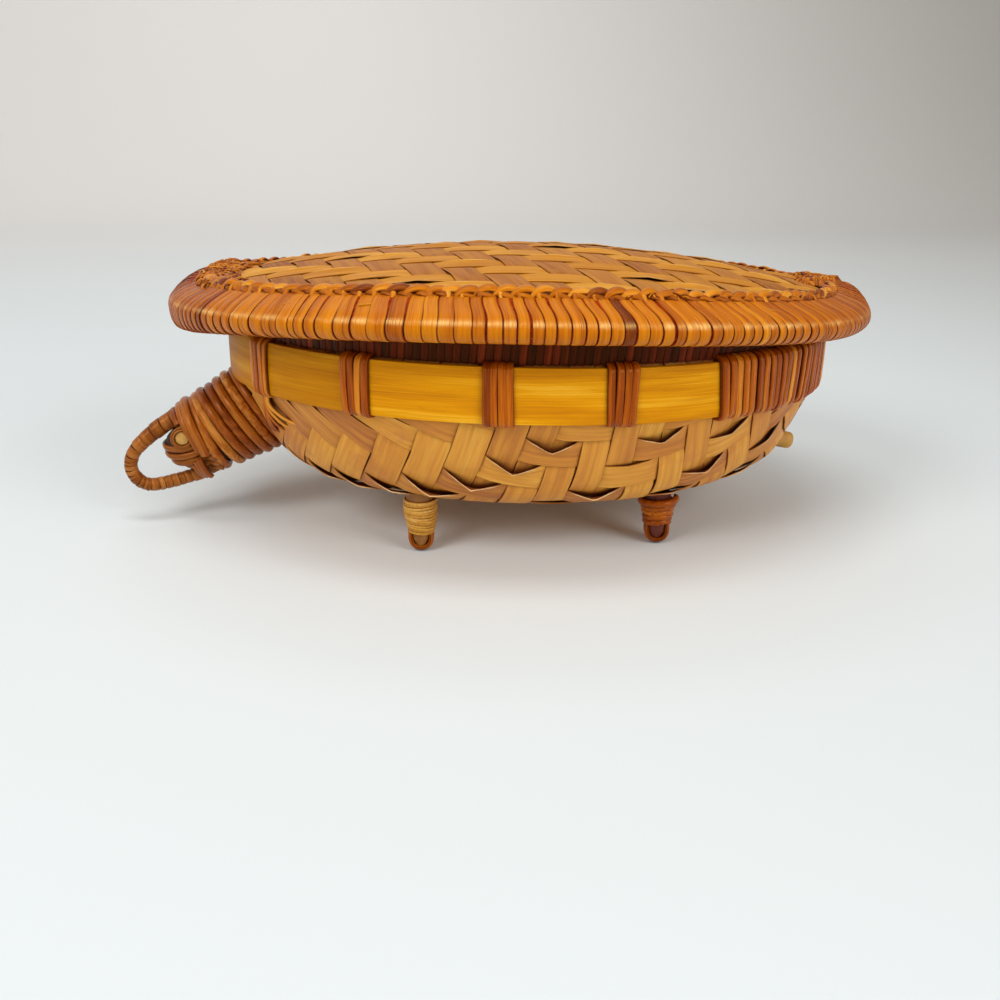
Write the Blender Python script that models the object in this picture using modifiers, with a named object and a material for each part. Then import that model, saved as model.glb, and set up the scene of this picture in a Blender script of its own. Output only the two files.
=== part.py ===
"""Turtle-shaped lidded basket: a plaited bamboo bowl on four bound feet, with a
coiled head and a carrying loop, and a domed lid that lifts off.

The basket is drawn round the centre of its mouth, with the head towards -X and its
left side towards -Y, and the whole is then moved so that the middle of its box stands
over the origin."""

import math

import bmesh
import bpy
import numpy as np
from mathutils import Matrix, Vector, geometry

# Sizes in metres, angles in radians
CLEARANCE = 0.0003
OVAL_SEGMENTS = 36

# Mouth of the basket, on the outer face of the bamboo band
MOUTH_HALF_LENGTH = 0.1062
MOUTH_HALF_WIDTH = 0.0776
BASKET_LEAN = math.radians(1.0)

# Bowl of plaited bamboo, its lengths as shares of the mouth's half length
BOWL_STANDOFF = 0.0192
BOWL_DEPTH = 0.0354
BOWL_FLOOR_SHARE = 0.565
BOWL_FLOOR_RATIO = 0.695
BOWL_CORNER_SHARE = 0.904
BOWL_SIDE_PULL_SHARE = 0.8663
BOWL_SIDE_PULL_HEIGHT = 0.0155
BOWL_CURVE_POINTS = 8
WALL = 0.0014

# Bamboo bands that clamp the bowl's wall
BAND_HEIGHT = 0.0177
BAND_THICKNESS = 0.0020
INNER_BAND_HEIGHT = 0.0140
INNER_BAND_THICKNESS = 0.0014

# Whipped rim that stands above the bands and enters the lid
RIM_HEIGHT = 0.0088
RIM_STEP_IN = 0.0015
RIM_HOOP_THICKNESS = 0.0016
WHIPPING = 0.0010
RIM_ROUNDING = 0.0017

# Lashings that hold the bands
LASHING_STRAND = 0.0024
LASHING_PITCH = 0.0032
LASHING_TURNS = 3
LASHING_ANGLES = [math.radians(a) for a in (215.0, 240.0, 265.0, 285.5)]
TAIL_LASHING_TURNS = 24
TAIL_LASHING_START = math.radians(-56)
TAIL_LASHING_PITCH = 0.0033

# Lid, by how far it reaches past the mouth
LID_END_OVERHANG = 0.0174
LID_SIDE_OVERHANG = 0.0184
LID_SHIFT = 0.0018
LID_WALL = 0.0014
LID_RIM_WIDTH = 0.0132
LID_RIM_HEIGHT = 0.0118
LID_SIDE_BOW = 0.0082
LID_DOME_RISE = 0.0123
LID_WRAP = 0.0010
LID_HOOP_SPLIT = 0.0084
LID_ROD_WIDTH = 0.0062
LID_HOOP_THICKNESS = 0.0016
LID_BRAID_DIAMETER = 0.0034

# Head, from its place below the band's end, along an axis that points away and down
HEAD_INSET = 0.0060
HEAD_ASIDE = 0.0080
HEAD_DROP = 0.0163
HEAD_DIP = math.radians(26)
HEAD_TURN = math.radians(15)
HEAD_TURNS = 8
HEAD_STRAND = 0.0021
HEAD_BASE_RADIUS = 0.0166
HEAD_FRONT_RADIUS = 0.0144
HEAD_WRAP_START = -0.0020
HEAD_LENGTH = 0.0205
HEAD_CORE_BACK = 0.0140
EYE_PROUD = 0.0005
SNOUT_LENGTH = 0.0130
SNOUT_HALF_WIDTH = 0.0075
SNOUT_HALF_HEIGHT = 0.0082
NOSE_STRAP_THICKNESS = 0.0011
NOSE_STRAP_WIDTH = 0.0030
EYE_RADIUS = 0.0030
EYE_AHEAD = 0.0048
EYE_UP = 0.0036
LOOP_ROD = 0.0044
LOOP_REACH = 0.0490
LOOP_HALF_HEIGHT = 0.0112
TIE_STRAND = 0.0024
TIE_TOP_ANGLE = math.radians(211)
TIE_BOTTOM_ANGLE = math.radians(202)
TIE_TOP_DROP = 0.0021
TIE_BOTTOM_DROP = 0.0226

# Feet, placed by shares of the mouth's half length and half width, and tail
FRONT_FEET_ALONG = -0.3371
FRONT_FEET_ACROSS = 0.567
REAR_FEET_ALONG = 0.4397
REAR_FEET_ACROSS = 0.4768
FOOT_TOP_RADIUS = 0.0065
FRONT_STRAND = 0.0014
FRONT_TURNS = 6
REAR_STRAND = 0.0015
REAR_TURNS = 5
TOE_STRAP_WIDTH = 0.0034
TOE_STRAP_THICKNESS = 0.0013
TOE_HEIGHT = 0.0056
TOE_RADIUS = 0.0030
TOE_CORNER = 0.0024
TAIL_RADIUS = 0.0031
TAIL_TIP_INSET = 0.0038
TAIL_LENGTH = 0.0200
TAIL_RISE = 0.0114
TAIL_DIP = math.radians(8)

# Colours of the materials
BAMBOO_GOLD = (0.72, 0.33, 0.04)
PLAIT_TAN = (0.56, 0.27, 0.09)
CANE_ORANGE = (0.58, 0.19, 0.025)
RATTAN_BROWN = (0.27, 0.085, 0.025)
BINDING_TAN = (0.55, 0.27, 0.09)


def clear_scene():
    for obj in list(bpy.data.objects):
        bpy.data.objects.remove(obj, do_unlink=True)


def new_collection(name):
    collection = bpy.data.collections.new(name)
    bpy.context.scene.collection.children.link(collection)
    return collection


def material(name, colour, roughness=0.5):
    made = bpy.data.materials.new(name)
    made.use_nodes = True
    shader = made.node_tree.nodes["Principled BSDF"]
    shader.inputs["Base Color"].default_value = (*colour, 1)
    shader.inputs["Roughness"].default_value = roughness
    shader.inputs["Metallic"].default_value = 0
    return made


def place(data, name, parent, colour, roughness=0.5, collection=None):
    """Makes an object of a mesh or curve, with its own material."""
    obj = bpy.data.objects.new(name, data)
    (collection or PARTS).objects.link(obj)
    obj.parent = parent
    data.materials.append(material(name, colour, roughness))
    return obj


def cutter(obj):
    obj.hide_render = True
    obj.display_type = "WIRE"
    return obj


def empty(name, parent=None):
    obj = bpy.data.objects.new(name, None)
    PARTS.objects.link(obj)
    obj.parent = parent
    return obj


def mesh_of(bm, name, smooth=True):
    mesh = bpy.data.meshes.new(name)
    bm.to_mesh(mesh)
    bm.free()
    if smooth:
        mesh.shade_smooth()
        mesh.set_sharp_from_angle(angle=math.radians(40))
    return mesh


def cut(obj, tool, name):
    boolean = obj.modifiers.new(name, "BOOLEAN")
    boolean.operation = "DIFFERENCE"
    boolean.object = tool
    return boolean


def level(angle):
    return 0.0


def lid_bow(angle):
    """The lid's left edge bows up, and its ends and right edge lie level."""
    return LID_SIDE_BOW * math.sin(angle) ** 2 if math.sin(angle) < 0 else 0.0


def oval(half_length, half_width, height, bow=level, share=1.0, centre_x=0.0):
    """The points of one level oval ring, counterclockwise from +X."""
    points = []
    for step in range(OVAL_SEGMENTS):
        angle = math.tau * step / OVAL_SEGMENTS
        points.append(
            Vector(
                (
                    centre_x + half_length * math.cos(angle),
                    half_width * math.sin(angle),
                    height + share * bow(angle),
                )
            )
        )
    return points


def oval_surface(rings, centre=None, lid=None):
    """An open surface through the rings, closed at its start by a centre point if one is given."""
    bm = bmesh.new()
    rows = [[bm.verts.new(point) for point in ring] for ring in rings]
    for lower, upper in zip(rows, rows[1:]):
        for step in range(OVAL_SEGMENTS):
            after = (step + 1) % OVAL_SEGMENTS
            bm.faces.new((lower[step], lower[after], upper[after], upper[step]))
    for row, point, turn in ((rows[0], centre, 1), (rows[-1], lid, -1)):
        if point is None:
            continue
        middle = bm.verts.new(point)
        for step in range(OVAL_SEGMENTS):
            after = (step + 1) % OVAL_SEGMENTS
            bm.faces.new((middle, row[after], row[step])[::turn])
    return bm


def solidify(obj, thickness):
    shell = obj.modifiers.new("thickness", "SOLIDIFY")
    shell.thickness = thickness
    shell.offset = -1
    shell.use_even_offset = True
    return shell


def hoop(name, parent, rings, thickness, colour, roughness=0.5):
    """A closed hoop whose outer surface runs through the rings."""
    obj = place(mesh_of(oval_surface(rings), name), name, parent, colour, roughness)
    solidify(obj, thickness)
    return obj


def mouth_ring(inset, height):
    return oval(MOUTH_HALF_LENGTH - inset, MOUTH_HALF_WIDTH - inset, height)


def lid_ring(inset, height):
    return oval(
        LID_HALF_LENGTH - inset, LID_HALF_WIDTH - inset, height, lid_bow, centre_x=-LID_SHIFT
    )


def tube(name, parent, points, radius, colour, closed=False, sides=1, roughness=0.4):
    """A rod along the points, as a curve with a round bevel and filled caps."""
    curve = bpy.data.curves.new(name, "CURVE")
    curve.dimensions = "3D"
    curve.bevel_depth = radius
    curve.bevel_resolution = sides
    curve.use_fill_caps = True
    spline = curve.splines.new("POLY")
    spline.points.add(len(points) - 1)
    for target, point in zip(spline.points, points):
        target.co = (*point, 1)
    spline.use_cyclic_u = closed
    return place(curve, name, parent, colour, roughness)


def least_gap(points, radius, points_per_turn):
    """The least gap between neighbouring turns of a winding, measured on points along it."""
    route = np.array([tuple(point) for point in points])
    shares = np.linspace(0, 1, 4, endpoint=False)
    fine = np.concatenate(
        [route[i] + shares[:, None] * (route[i + 1] - route[i]) for i in range(len(route) - 1)]
    )
    apart = len(shares) * points_per_turn // 2
    nearest = math.inf
    for index in range(len(fine) - apart):
        distance = np.linalg.norm(fine[index + apart :] - fine[index], axis=1).min()
        nearest = min(nearest, distance)
    return nearest - 2 * radius


def winding(name, parent, points, radius, points_per_turn, colour):
    print(f"{name}: least gap {1000 * least_gap(points, radius, points_per_turn):.2f} mm")
    return tube(name, parent, points, radius, colour)


# Heights that follow from the sizes
BAND_BOTTOM = BOWL_STANDOFF + BOWL_DEPTH
BAND_TOP = BAND_BOTTOM + BAND_HEIGHT
RIM_BOTTOM = BAND_TOP + LASHING_STRAND + 2 * CLEARANCE
RIM_TOP = RIM_BOTTOM + RIM_HEIGHT
TIE_TOP = BAND_BOTTOM - TIE_TOP_DROP
TIE_BOTTOM = BAND_BOTTOM - TIE_BOTTOM_DROP
TAIL_HEIGHT = BOWL_STANDOFF + TAIL_RISE

# Lengths and places that follow from the mouth
BOWL_FLOOR_HALF_LENGTH = BOWL_FLOOR_SHARE * MOUTH_HALF_LENGTH
BOWL_CORNER_REACH = BOWL_CORNER_SHARE * MOUTH_HALF_LENGTH
BOWL_SIDE_PULL = BOWL_SIDE_PULL_SHARE * MOUTH_HALF_LENGTH
LID_HALF_LENGTH = MOUTH_HALF_LENGTH + LID_END_OVERHANG
LID_HALF_WIDTH = MOUTH_HALF_WIDTH + LID_SIDE_OVERHANG
HEAD_BASE = Vector((HEAD_INSET - MOUTH_HALF_LENGTH, -HEAD_ASIDE, BAND_BOTTOM - HEAD_DROP))
FRONT_FEET_X = FRONT_FEET_ALONG * MOUTH_HALF_LENGTH
FRONT_FEET_SPREAD = FRONT_FEET_ACROSS * MOUTH_HALF_WIDTH
REAR_FEET_X = REAR_FEET_ALONG * MOUTH_HALF_LENGTH
REAR_FEET_SPREAD = REAR_FEET_ACROSS * MOUTH_HALF_WIDTH
TAIL_TIP_X = MOUTH_HALF_LENGTH - TAIL_TIP_INSET

# Insets from the mouth oval, from the outside in
WALL_INSET = BAND_THICKNESS + CLEARANCE
INNER_BAND_INSET = WALL_INSET + WALL + CLEARANCE
RIM_HOOP_INSET = RIM_STEP_IN + WHIPPING + CLEARANCE
RIM_WALL_INSET = RIM_HOOP_INSET + RIM_HOOP_THICKNESS + CLEARANCE
RIM_INNER_HOOP_INSET = RIM_WALL_INSET + WALL + CLEARANCE
RIM_INNER_FACE = RIM_INNER_HOOP_INSET + RIM_HOOP_THICKNESS + CLEARANCE + WHIPPING


def bowl_curve():
    """The bowl's side from its flat floor to the band, as (half length, height)."""
    start = Vector((BOWL_FLOOR_HALF_LENGTH, BOWL_STANDOFF, 0))
    corner = Vector((BOWL_CORNER_REACH, BOWL_STANDOFF, 0))
    side = Vector((BOWL_SIDE_PULL, BOWL_STANDOFF + BOWL_SIDE_PULL_HEIGHT, 0))
    end = Vector((MOUTH_HALF_LENGTH - WALL_INSET, BAND_BOTTOM, 0))
    return geometry.interpolate_bezier(start, corner, side, end, BOWL_CURVE_POINTS)


def bowl_rings(grow=0.0):
    """The bowl's outer surface from floor to band, or one that stands off it by grow."""
    rings = []
    mouth_ratio = (MOUTH_HALF_WIDTH - WALL_INSET) / (MOUTH_HALF_LENGTH - WALL_INSET)
    for point in bowl_curve():
        share = (point.y - BOWL_STANDOFF) / BOWL_DEPTH
        ratio = BOWL_FLOOR_RATIO + (mouth_ratio - BOWL_FLOOR_RATIO) * share
        height = point.y - grow * (1 - share)
        rings.append(oval(point.x + grow, point.x * ratio + grow, height))
    return rings


def make_bowl():
    rings = bowl_rings()
    rings += [
        mouth_ring(WALL_INSET, BAND_TOP),
        mouth_ring(RIM_WALL_INSET, RIM_BOTTOM),
        mouth_ring(RIM_WALL_INSET, RIM_TOP - WHIPPING - CLEARANCE),
    ]
    surface = oval_surface(rings, Vector((0, 0, BOWL_STANDOFF)))
    bowl = place(mesh_of(surface, "woven_bowl"), "woven_bowl", LEAN, PLAIT_TAN)
    solidify(bowl, WALL)
    return bowl


def make_bowl_blank():
    """A solid that stands off the bowl's outside by the clearance, to trim what meets it."""
    rings = bowl_rings(CLEARANCE)
    top = mouth_ring(WALL_INSET - CLEARANCE, BAND_TOP)
    floor = Vector((0, 0, BOWL_STANDOFF - CLEARANCE))
    surface = oval_surface(rings + [top], floor, Vector((0, 0, BAND_TOP)))
    blank = place(
        mesh_of(surface, "bowl_blank"), "bowl_blank", LEAN, PLAIT_TAN, collection=CUTTERS
    )
    return cutter(blank)


def make_bands():
    rings = [mouth_ring(0, BAND_BOTTOM), mouth_ring(0, BAND_TOP)]
    hoop("outer_band", LEAN, rings, BAND_THICKNESS, BAMBOO_GOLD, 0.35)
    low = (BAND_BOTTOM + BAND_TOP - INNER_BAND_HEIGHT) / 2
    rings = [mouth_ring(INNER_BAND_INSET, low), mouth_ring(INNER_BAND_INSET, low + INNER_BAND_HEIGHT)]
    hoop("inner_band", LEAN, rings, INNER_BAND_THICKNESS, BAMBOO_GOLD, 0.45)


def make_rim():
    """Two hoops clamp the top of the wall, and a whipping of split rattan covers them."""
    top = RIM_TOP - WHIPPING - 2 * CLEARANCE
    for name, inset in (("rim_outer_hoop", RIM_HOOP_INSET), ("rim_inner_hoop", RIM_INNER_HOOP_INSET)):
        rings = [mouth_ring(inset, RIM_BOTTOM + CLEARANCE), mouth_ring(inset, top - RIM_ROUNDING / 2)]
        hoop(name, LEAN, rings, RIM_HOOP_THICKNESS, BAMBOO_GOLD)
    profile = [
        (RIM_STEP_IN, RIM_BOTTOM),
        (RIM_STEP_IN, RIM_TOP - RIM_ROUNDING),
        (RIM_STEP_IN + RIM_ROUNDING, RIM_TOP),
        (RIM_INNER_FACE - RIM_ROUNDING, RIM_TOP),
        (RIM_INNER_FACE, RIM_TOP - RIM_ROUNDING),
        (RIM_INNER_FACE, RIM_BOTTOM),
    ]
    rings = [mouth_ring(inset, height) for inset, height in profile]
    hoop("rim_whipping", LEAN, rings, WHIPPING, RATTAN_BROWN, 0.4)


def lashing_section():
    """One turn round both bands, as (inset, height, share of the step to the next turn)."""
    radius = LASHING_STRAND / 2
    outer = -(CLEARANCE + radius)
    inner = INNER_BAND_INSET + INNER_BAND_THICKNESS + CLEARANCE + radius
    top = BAND_TOP + CLEARANCE + radius
    bottom = BAND_BOTTOM - CLEARANCE - radius
    corner = 0.6 * radius
    return [
        (inner - corner, bottom, 0),
        (outer + corner, bottom, 0),
        (outer, bottom + corner, 0),
        (outer, top - corner, 0),
        (outer + corner, top, 0),
        (inner - corner, top, 0),
        (inner, top - corner, 0),
        (inner, bottom + corner, 1),
    ]


def mouth_speed(angle):
    """How far the mouth oval runs for each radian, in metres."""
    return math.hypot(MOUTH_HALF_LENGTH * math.sin(angle), MOUTH_HALF_WIDTH * math.cos(angle))


def mouth_point(angle, inset, height):
    half_length = MOUTH_HALF_LENGTH - inset
    half_width = MOUTH_HALF_WIDTH - inset
    return Vector((half_length * math.cos(angle), half_width * math.sin(angle), height))


def turn_angles(start, turns, pitch):
    """The angle on the mouth of each turn, one pitch apart along the band."""
    angles = [start]
    while len(angles) <= turns:
        angles.append(angles[-1] + pitch / mouth_speed(angles[-1]))
    return angles


def slot(bowl, name, start, end, middle):
    """A slot through the bowl's wall for a lashing, as a bar that follows the mouth oval."""
    half_height = LASHING_STRAND / 2 + CLEARANCE
    half_strand = LASHING_STRAND / 2 + CLEARANCE
    start -= half_strand / mouth_speed(start)
    end += half_strand / mouth_speed(end)
    steps = max(2, round((end - start) * OVAL_SEGMENTS / math.tau))
    reach_out = -LASHING_STRAND
    reach_in = INNER_BAND_INSET + INNER_BAND_THICKNESS + LASHING_STRAND
    bm = bmesh.new()
    rows = []
    for step in range(steps + 1):
        angle = start + (end - start) * step / steps
        section = [
            (reach_out, middle - half_height),
            (reach_in, middle - half_height),
            (reach_in, middle + half_height),
            (reach_out, middle + half_height),
        ]
        rows.append([bm.verts.new(mouth_point(angle, inset, height)) for inset, height in section])
    for row, after in zip(rows, rows[1:]):
        for side in range(4):
            beside = (side + 1) % 4
            bm.faces.new((row[side], row[beside], after[beside], after[side]))
    bm.faces.new(rows[0])
    bm.faces.new(rows[-1])
    bmesh.ops.recalc_face_normals(bm, faces=bm.faces)
    tool = place(mesh_of(bm, name), name, LEAN, PLAIT_TAN, collection=CUTTERS)
    cut(bowl, cutter(tool), name)


def make_lashing(bowl, name, start, turns, pitch):
    """One strand wound round the bands, through a slot above them and one below."""
    section = lashing_section()
    angles = turn_angles(start, turns, pitch)
    points = []
    for angle, following in zip(angles, angles[1:]):
        for inset, height, share in section:
            points.append(mouth_point(angle + share * (following - angle), inset, height))
    points.pop()
    winding(name, LEAN, points, LASHING_STRAND / 2, len(section), RATTAN_BROWN)
    slot(bowl, name + "_slot_top", angles[0], angles[-2], section[4][1])
    slot(bowl, name + "_slot_bottom", angles[0], angles[-2], section[0][1])


def make_lashings(bowl):
    for number, angle in enumerate(LASHING_ANGLES, 1):
        half_run = (LASHING_TURNS - 1) * LASHING_PITCH / 2 / mouth_speed(angle)
        for side, middle in (("left", angle), ("right", math.tau - angle)):
            name = f"lashing_{side}_{number}"
            make_lashing(bowl, name, middle - half_run, LASHING_TURNS, LASHING_PITCH)
    make_lashing(bowl, "tail_lashing", TAIL_LASHING_START, TAIL_LASHING_TURNS, TAIL_LASHING_PITCH)


def lid_edge_height():
    """Where the dome meets the lid's rim, so that the dome rests on the basket's rim."""
    rim_half_length = MOUTH_HALF_LENGTH - RIM_STEP_IN + LID_SHIFT
    share = rim_half_length / (LID_HALF_LENGTH - LID_RIM_WIDTH)
    above_edge = LID_DOME_RISE * (1 - share**2)
    return RIM_TOP + 2 * CLEARANCE + LID_WALL - above_edge


def make_dome(edge):
    """The lid's plaited sheet: a shallow dome whose edge turns down between the rim's hoops."""
    half_length = LID_HALF_LENGTH - LID_RIM_WIDTH
    half_width = LID_HALF_WIDTH - LID_RIM_WIDTH
    bend = (LID_RIM_WIDTH - LID_HOOP_SPLIT) / 2
    rings = [
        lid_ring(LID_HOOP_SPLIT, edge - 0.80 * LID_RIM_HEIGHT),
        lid_ring(LID_HOOP_SPLIT, edge - 0.34 * LID_RIM_HEIGHT),
        lid_ring(LID_HOOP_SPLIT + 0.2 * bend, edge - 0.18 * LID_RIM_HEIGHT),
        lid_ring(LID_HOOP_SPLIT + bend, edge - 0.06 * LID_RIM_HEIGHT),
    ]
    dome_rings = 6
    for step in range(dome_rings):
        share = 1 - step / dome_rings
        height = edge + LID_DOME_RISE * (1 - share**2)
        rings.append(
            oval(share * half_length, share * half_width, height, lid_bow, share**2, -LID_SHIFT)
        )
    top = Vector((-LID_SHIFT, 0, edge + LID_DOME_RISE))
    surface = oval_surface(rings, lid=top)
    dome = place(mesh_of(surface, "lid_dome"), "lid_dome", LEAN, PLAIT_TAN)
    solidify(dome, LID_WALL)


def make_lid_rim(edge):
    """A rod outside the sheet's edge and a hoop inside it, under a wrapping of flat cane."""
    bottom = edge - LID_RIM_HEIGHT
    seat = LID_WRAP + 2 * CLEARANCE
    inner_face = LID_HOOP_SPLIT + LID_WALL + CLEARANCE
    rod_top = edge - 0.48 * LID_RIM_HEIGHT
    hoop_top = edge - 0.30 * LID_RIM_HEIGHT
    rod = [lid_ring(LID_HOOP_SPLIT - CLEARANCE - LID_ROD_WIDTH, z) for z in (bottom + 2 * seat, rod_top)]
    hoop("lid_rim_rod", LEAN, rod, LID_ROD_WIDTH, BAMBOO_GOLD)
    inside = [lid_ring(inner_face, z) for z in (bottom + 2.5 * seat, hoop_top)]
    hoop("lid_inner_hoop", LEAN, inside, LID_HOOP_THICKNESS, BAMBOO_GOLD)
    wrap_inset = inner_face + LID_HOOP_THICKNESS + CLEARANCE + LID_WRAP
    lip = LID_WRAP + CLEARANCE
    profile = [
        (wrap_inset, edge - 0.27 * LID_RIM_HEIGHT),
        (wrap_inset, edge - 0.80 * LID_RIM_HEIGHT),
        (0.85 * wrap_inset, edge - 0.96 * LID_RIM_HEIGHT),
        (0.50 * wrap_inset, bottom),
        (0.18 * wrap_inset, edge - 0.95 * LID_RIM_HEIGHT),
        (0.03 * wrap_inset, edge - 0.80 * LID_RIM_HEIGHT),
        (0, edge - 0.62 * LID_RIM_HEIGHT),
        (0.04 * wrap_inset, edge - 0.42 * LID_RIM_HEIGHT),
        (0.20 * wrap_inset, edge - 0.24 * LID_RIM_HEIGHT),
        (0.57 * wrap_inset, edge - 0.04 * LID_RIM_HEIGHT),
        (0.80 * wrap_inset, edge + 0.5 * lip),
        (wrap_inset, edge + lip),
    ]
    rings = [lid_ring(inset, height) for inset, height in profile]
    hoop("lid_rim_wrap", LEAN, rings, LID_WRAP, CANE_ORANGE, 0.35)
    return wrap_inset


def make_braid(edge, wrap_inset):
    radius = LID_BRAID_DIAMETER / 2
    inset = wrap_inset + CLEARANCE + radius
    share = (LID_HALF_LENGTH - inset) / (LID_HALF_LENGTH - LID_RIM_WIDTH)
    height = edge + LID_DOME_RISE * (1 - share**2) + CLEARANCE + radius
    tube("lid_braid", LEAN, lid_ring(inset, height), radius, CANE_ORANGE, closed=True)


def make_tie():
    """The strand that ties the head on, laid over the bowl from the first lashing down."""
    lengths = [point.x for point in bowl_curve()]
    heights = [point.y for point in bowl_curve()]
    stand_off = TIE_STRAND / 2 + 2 * CLEARANCE
    points = []
    steps = 8
    for step in range(steps + 1):
        share = step / steps
        angle = TIE_TOP_ANGLE + (TIE_BOTTOM_ANGLE - TIE_TOP_ANGLE) * share
        height = TIE_TOP + (TIE_BOTTOM - TIE_TOP) * share
        half_length = float(np.interp(height, heights, lengths)) + stand_off
        half_width = half_length * MOUTH_HALF_WIDTH / MOUTH_HALF_LENGTH
        points.append(Vector((half_length * math.cos(angle), half_width * math.sin(angle), height)))
    tube("head_tie", LEAN, points, TIE_STRAND / 2, RATTAN_BROWN)


def head_frame():
    """The head's own frame: X along its axis, away from the bowl, and Z up across it."""
    dip, turn = HEAD_DIP, HEAD_TURN
    along = Vector((-math.cos(dip) * math.cos(turn), -math.cos(dip) * math.sin(turn), -math.sin(dip)))
    up = Vector((-math.sin(dip) * math.cos(turn), -math.sin(dip) * math.sin(turn), math.cos(dip)))
    side = up.cross(along)
    frame = Matrix((along, side, up)).transposed().to_4x4()
    frame.translation = HEAD_BASE
    return frame


def head_radius(along):
    share = along / HEAD_LENGTH
    return HEAD_BASE_RADIUS + (HEAD_FRONT_RADIUS - HEAD_BASE_RADIUS) * share


def make_head_core(head, blank):
    """The tapered core, which runs back until it meets the bowl."""
    thickness = HEAD_STRAND + CLEARANCE
    length = HEAD_LENGTH + HEAD_CORE_BACK
    middle = Matrix.Translation((HEAD_LENGTH - length / 2, 0, 0))
    bm = bmesh.new()
    bmesh.ops.create_cone(
        bm,
        cap_ends=True,
        segments=20,
        radius1=head_radius(-HEAD_CORE_BACK) - thickness,
        radius2=head_radius(HEAD_LENGTH) - thickness,
        depth=length,
        matrix=middle @ Matrix.Rotation(math.pi / 2, 4, "Y"),
    )
    core = place(mesh_of(bm, "head_core"), "head_core", head, RATTAN_BROWN)
    cut(core, blank, "bowl")


def make_head_wrap(head):
    points_per_turn = 16
    radius = HEAD_STRAND / 2
    start = HEAD_WRAP_START + radius
    run = HEAD_LENGTH - radius - start
    points = []
    for step in range(HEAD_TURNS * points_per_turn + 1):
        along = start + run * step / (HEAD_TURNS * points_per_turn)
        angle = math.tau * step / points_per_turn
        reach = head_radius(along) - radius
        points.append(Vector((along, reach * math.cos(angle), reach * math.sin(angle))))
    winding("head_wrap", head, points, radius, points_per_turn, RATTAN_BROWN)


def make_snout(head):
    """Half an egg on the core's front face, bored across for the dowel of the eyes."""
    face = HEAD_LENGTH + CLEARANCE
    bm = bmesh.new()
    size = Matrix.Diagonal((SNOUT_LENGTH, SNOUT_HALF_WIDTH, SNOUT_HALF_HEIGHT, 1))
    bmesh.ops.create_uvsphere(
        bm, u_segments=16, v_segments=8, radius=1, matrix=Matrix.Translation((face, 0, 0)) @ size
    )
    everything = bm.verts[:] + bm.edges[:] + bm.faces[:]
    plane = Vector((face + 0.00001, 0, 0))
    bmesh.ops.bisect_plane(bm, geom=everything, plane_co=plane, plane_no=(-1, 0, 0), clear_outer=True)
    bmesh.ops.holes_fill(bm, edges=[edge for edge in bm.edges if edge.is_boundary])
    bmesh.ops.recalc_face_normals(bm, faces=bm.faces)
    snout = place(mesh_of(bm, "snout"), "snout", head, RATTAN_BROWN)
    place_eye = Matrix.Translation((face + EYE_AHEAD, 0, EYE_UP)) @ Matrix.Rotation(math.pi / 2, 4, "X")
    for name, radius, length in (
        ("eye_bore", EYE_RADIUS + CLEARANCE, 4 * SNOUT_HALF_WIDTH),
        ("eye_dowel", EYE_RADIUS, 2 * (SNOUT_HALF_WIDTH + EYE_PROUD)),
    ):
        bm = bmesh.new()
        bmesh.ops.create_cone(
            bm,
            cap_ends=True,
            segments=16,
            radius1=radius,
            radius2=radius,
            depth=length,
            matrix=place_eye,
        )
        home = CUTTERS if name == "eye_bore" else PARTS
        made = place(mesh_of(bm, name), name, head, BINDING_TAN, collection=home)
        if name == "eye_bore":
            cut(snout, cutter(made), "eye")


def ribbon(name, parent, points, width, thickness, colour):
    """A flat strip that follows the points in its own XY plane, width along its Z."""
    curve = bpy.data.curves.new(name, "CURVE")
    curve.dimensions = "3D"
    curve.extrude = width / 2
    spline = curve.splines.new("POLY")
    spline.points.add(len(points) - 1)
    for target, (x, y) in zip(spline.points, points):
        target.co = (x, y, 0, 1)
    obj = place(curve, name, parent, colour, 0.4)
    solidify(obj, thickness).offset = 0
    return obj


def make_nose_straps(head):
    """Flat strands folded round the snout, below the eyes."""
    face = HEAD_LENGTH + 2 * CLEARANCE
    stand_off = CLEARANCE + NOSE_STRAP_THICKNESS / 2
    top = EYE_UP - EYE_RADIUS - CLEARANCE
    for name in ("nose_strap_upper", "nose_strap_lower"):
        share = math.sqrt(1 - (max(0, -top) / SNOUT_HALF_HEIGHT) ** 2)
        points = []
        steps = 12
        for step in range(steps + 1):
            angle = math.pi * (step / steps - 0.5)
            ahead = (SNOUT_LENGTH * share + stand_off) * math.cos(angle)
            aside = (SNOUT_HALF_WIDTH * share + stand_off) * math.sin(angle)
            points.append((face + ahead, aside))
        strap = ribbon(name, head, points, NOSE_STRAP_WIDTH, NOSE_STRAP_THICKNESS, CANE_ORANGE)
        strap.location.z = top - NOSE_STRAP_WIDTH / 2
        top -= NOSE_STRAP_WIDTH + CLEARANCE


def loop_route():
    """The carrying loop's centre line in the head's frame, from the crown round to the chin."""
    squareness = 2 / 3
    start = HEAD_LENGTH + CLEARANCE
    points = [Vector((start, 0, LOOP_HALF_HEIGHT))]
    steps = 18
    for step in range(1, steps):
        angle = math.pi * (0.5 - step / steps)
        ahead = (LOOP_REACH - start) * math.cos(angle) ** squareness
        height = math.copysign(abs(math.sin(angle)) ** squareness, angle) * LOOP_HALF_HEIGHT
        points.append(Vector((start + ahead, 0, height)))
    points.append(Vector((start, 0, -LOOP_HALF_HEIGHT)))
    return points


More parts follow.
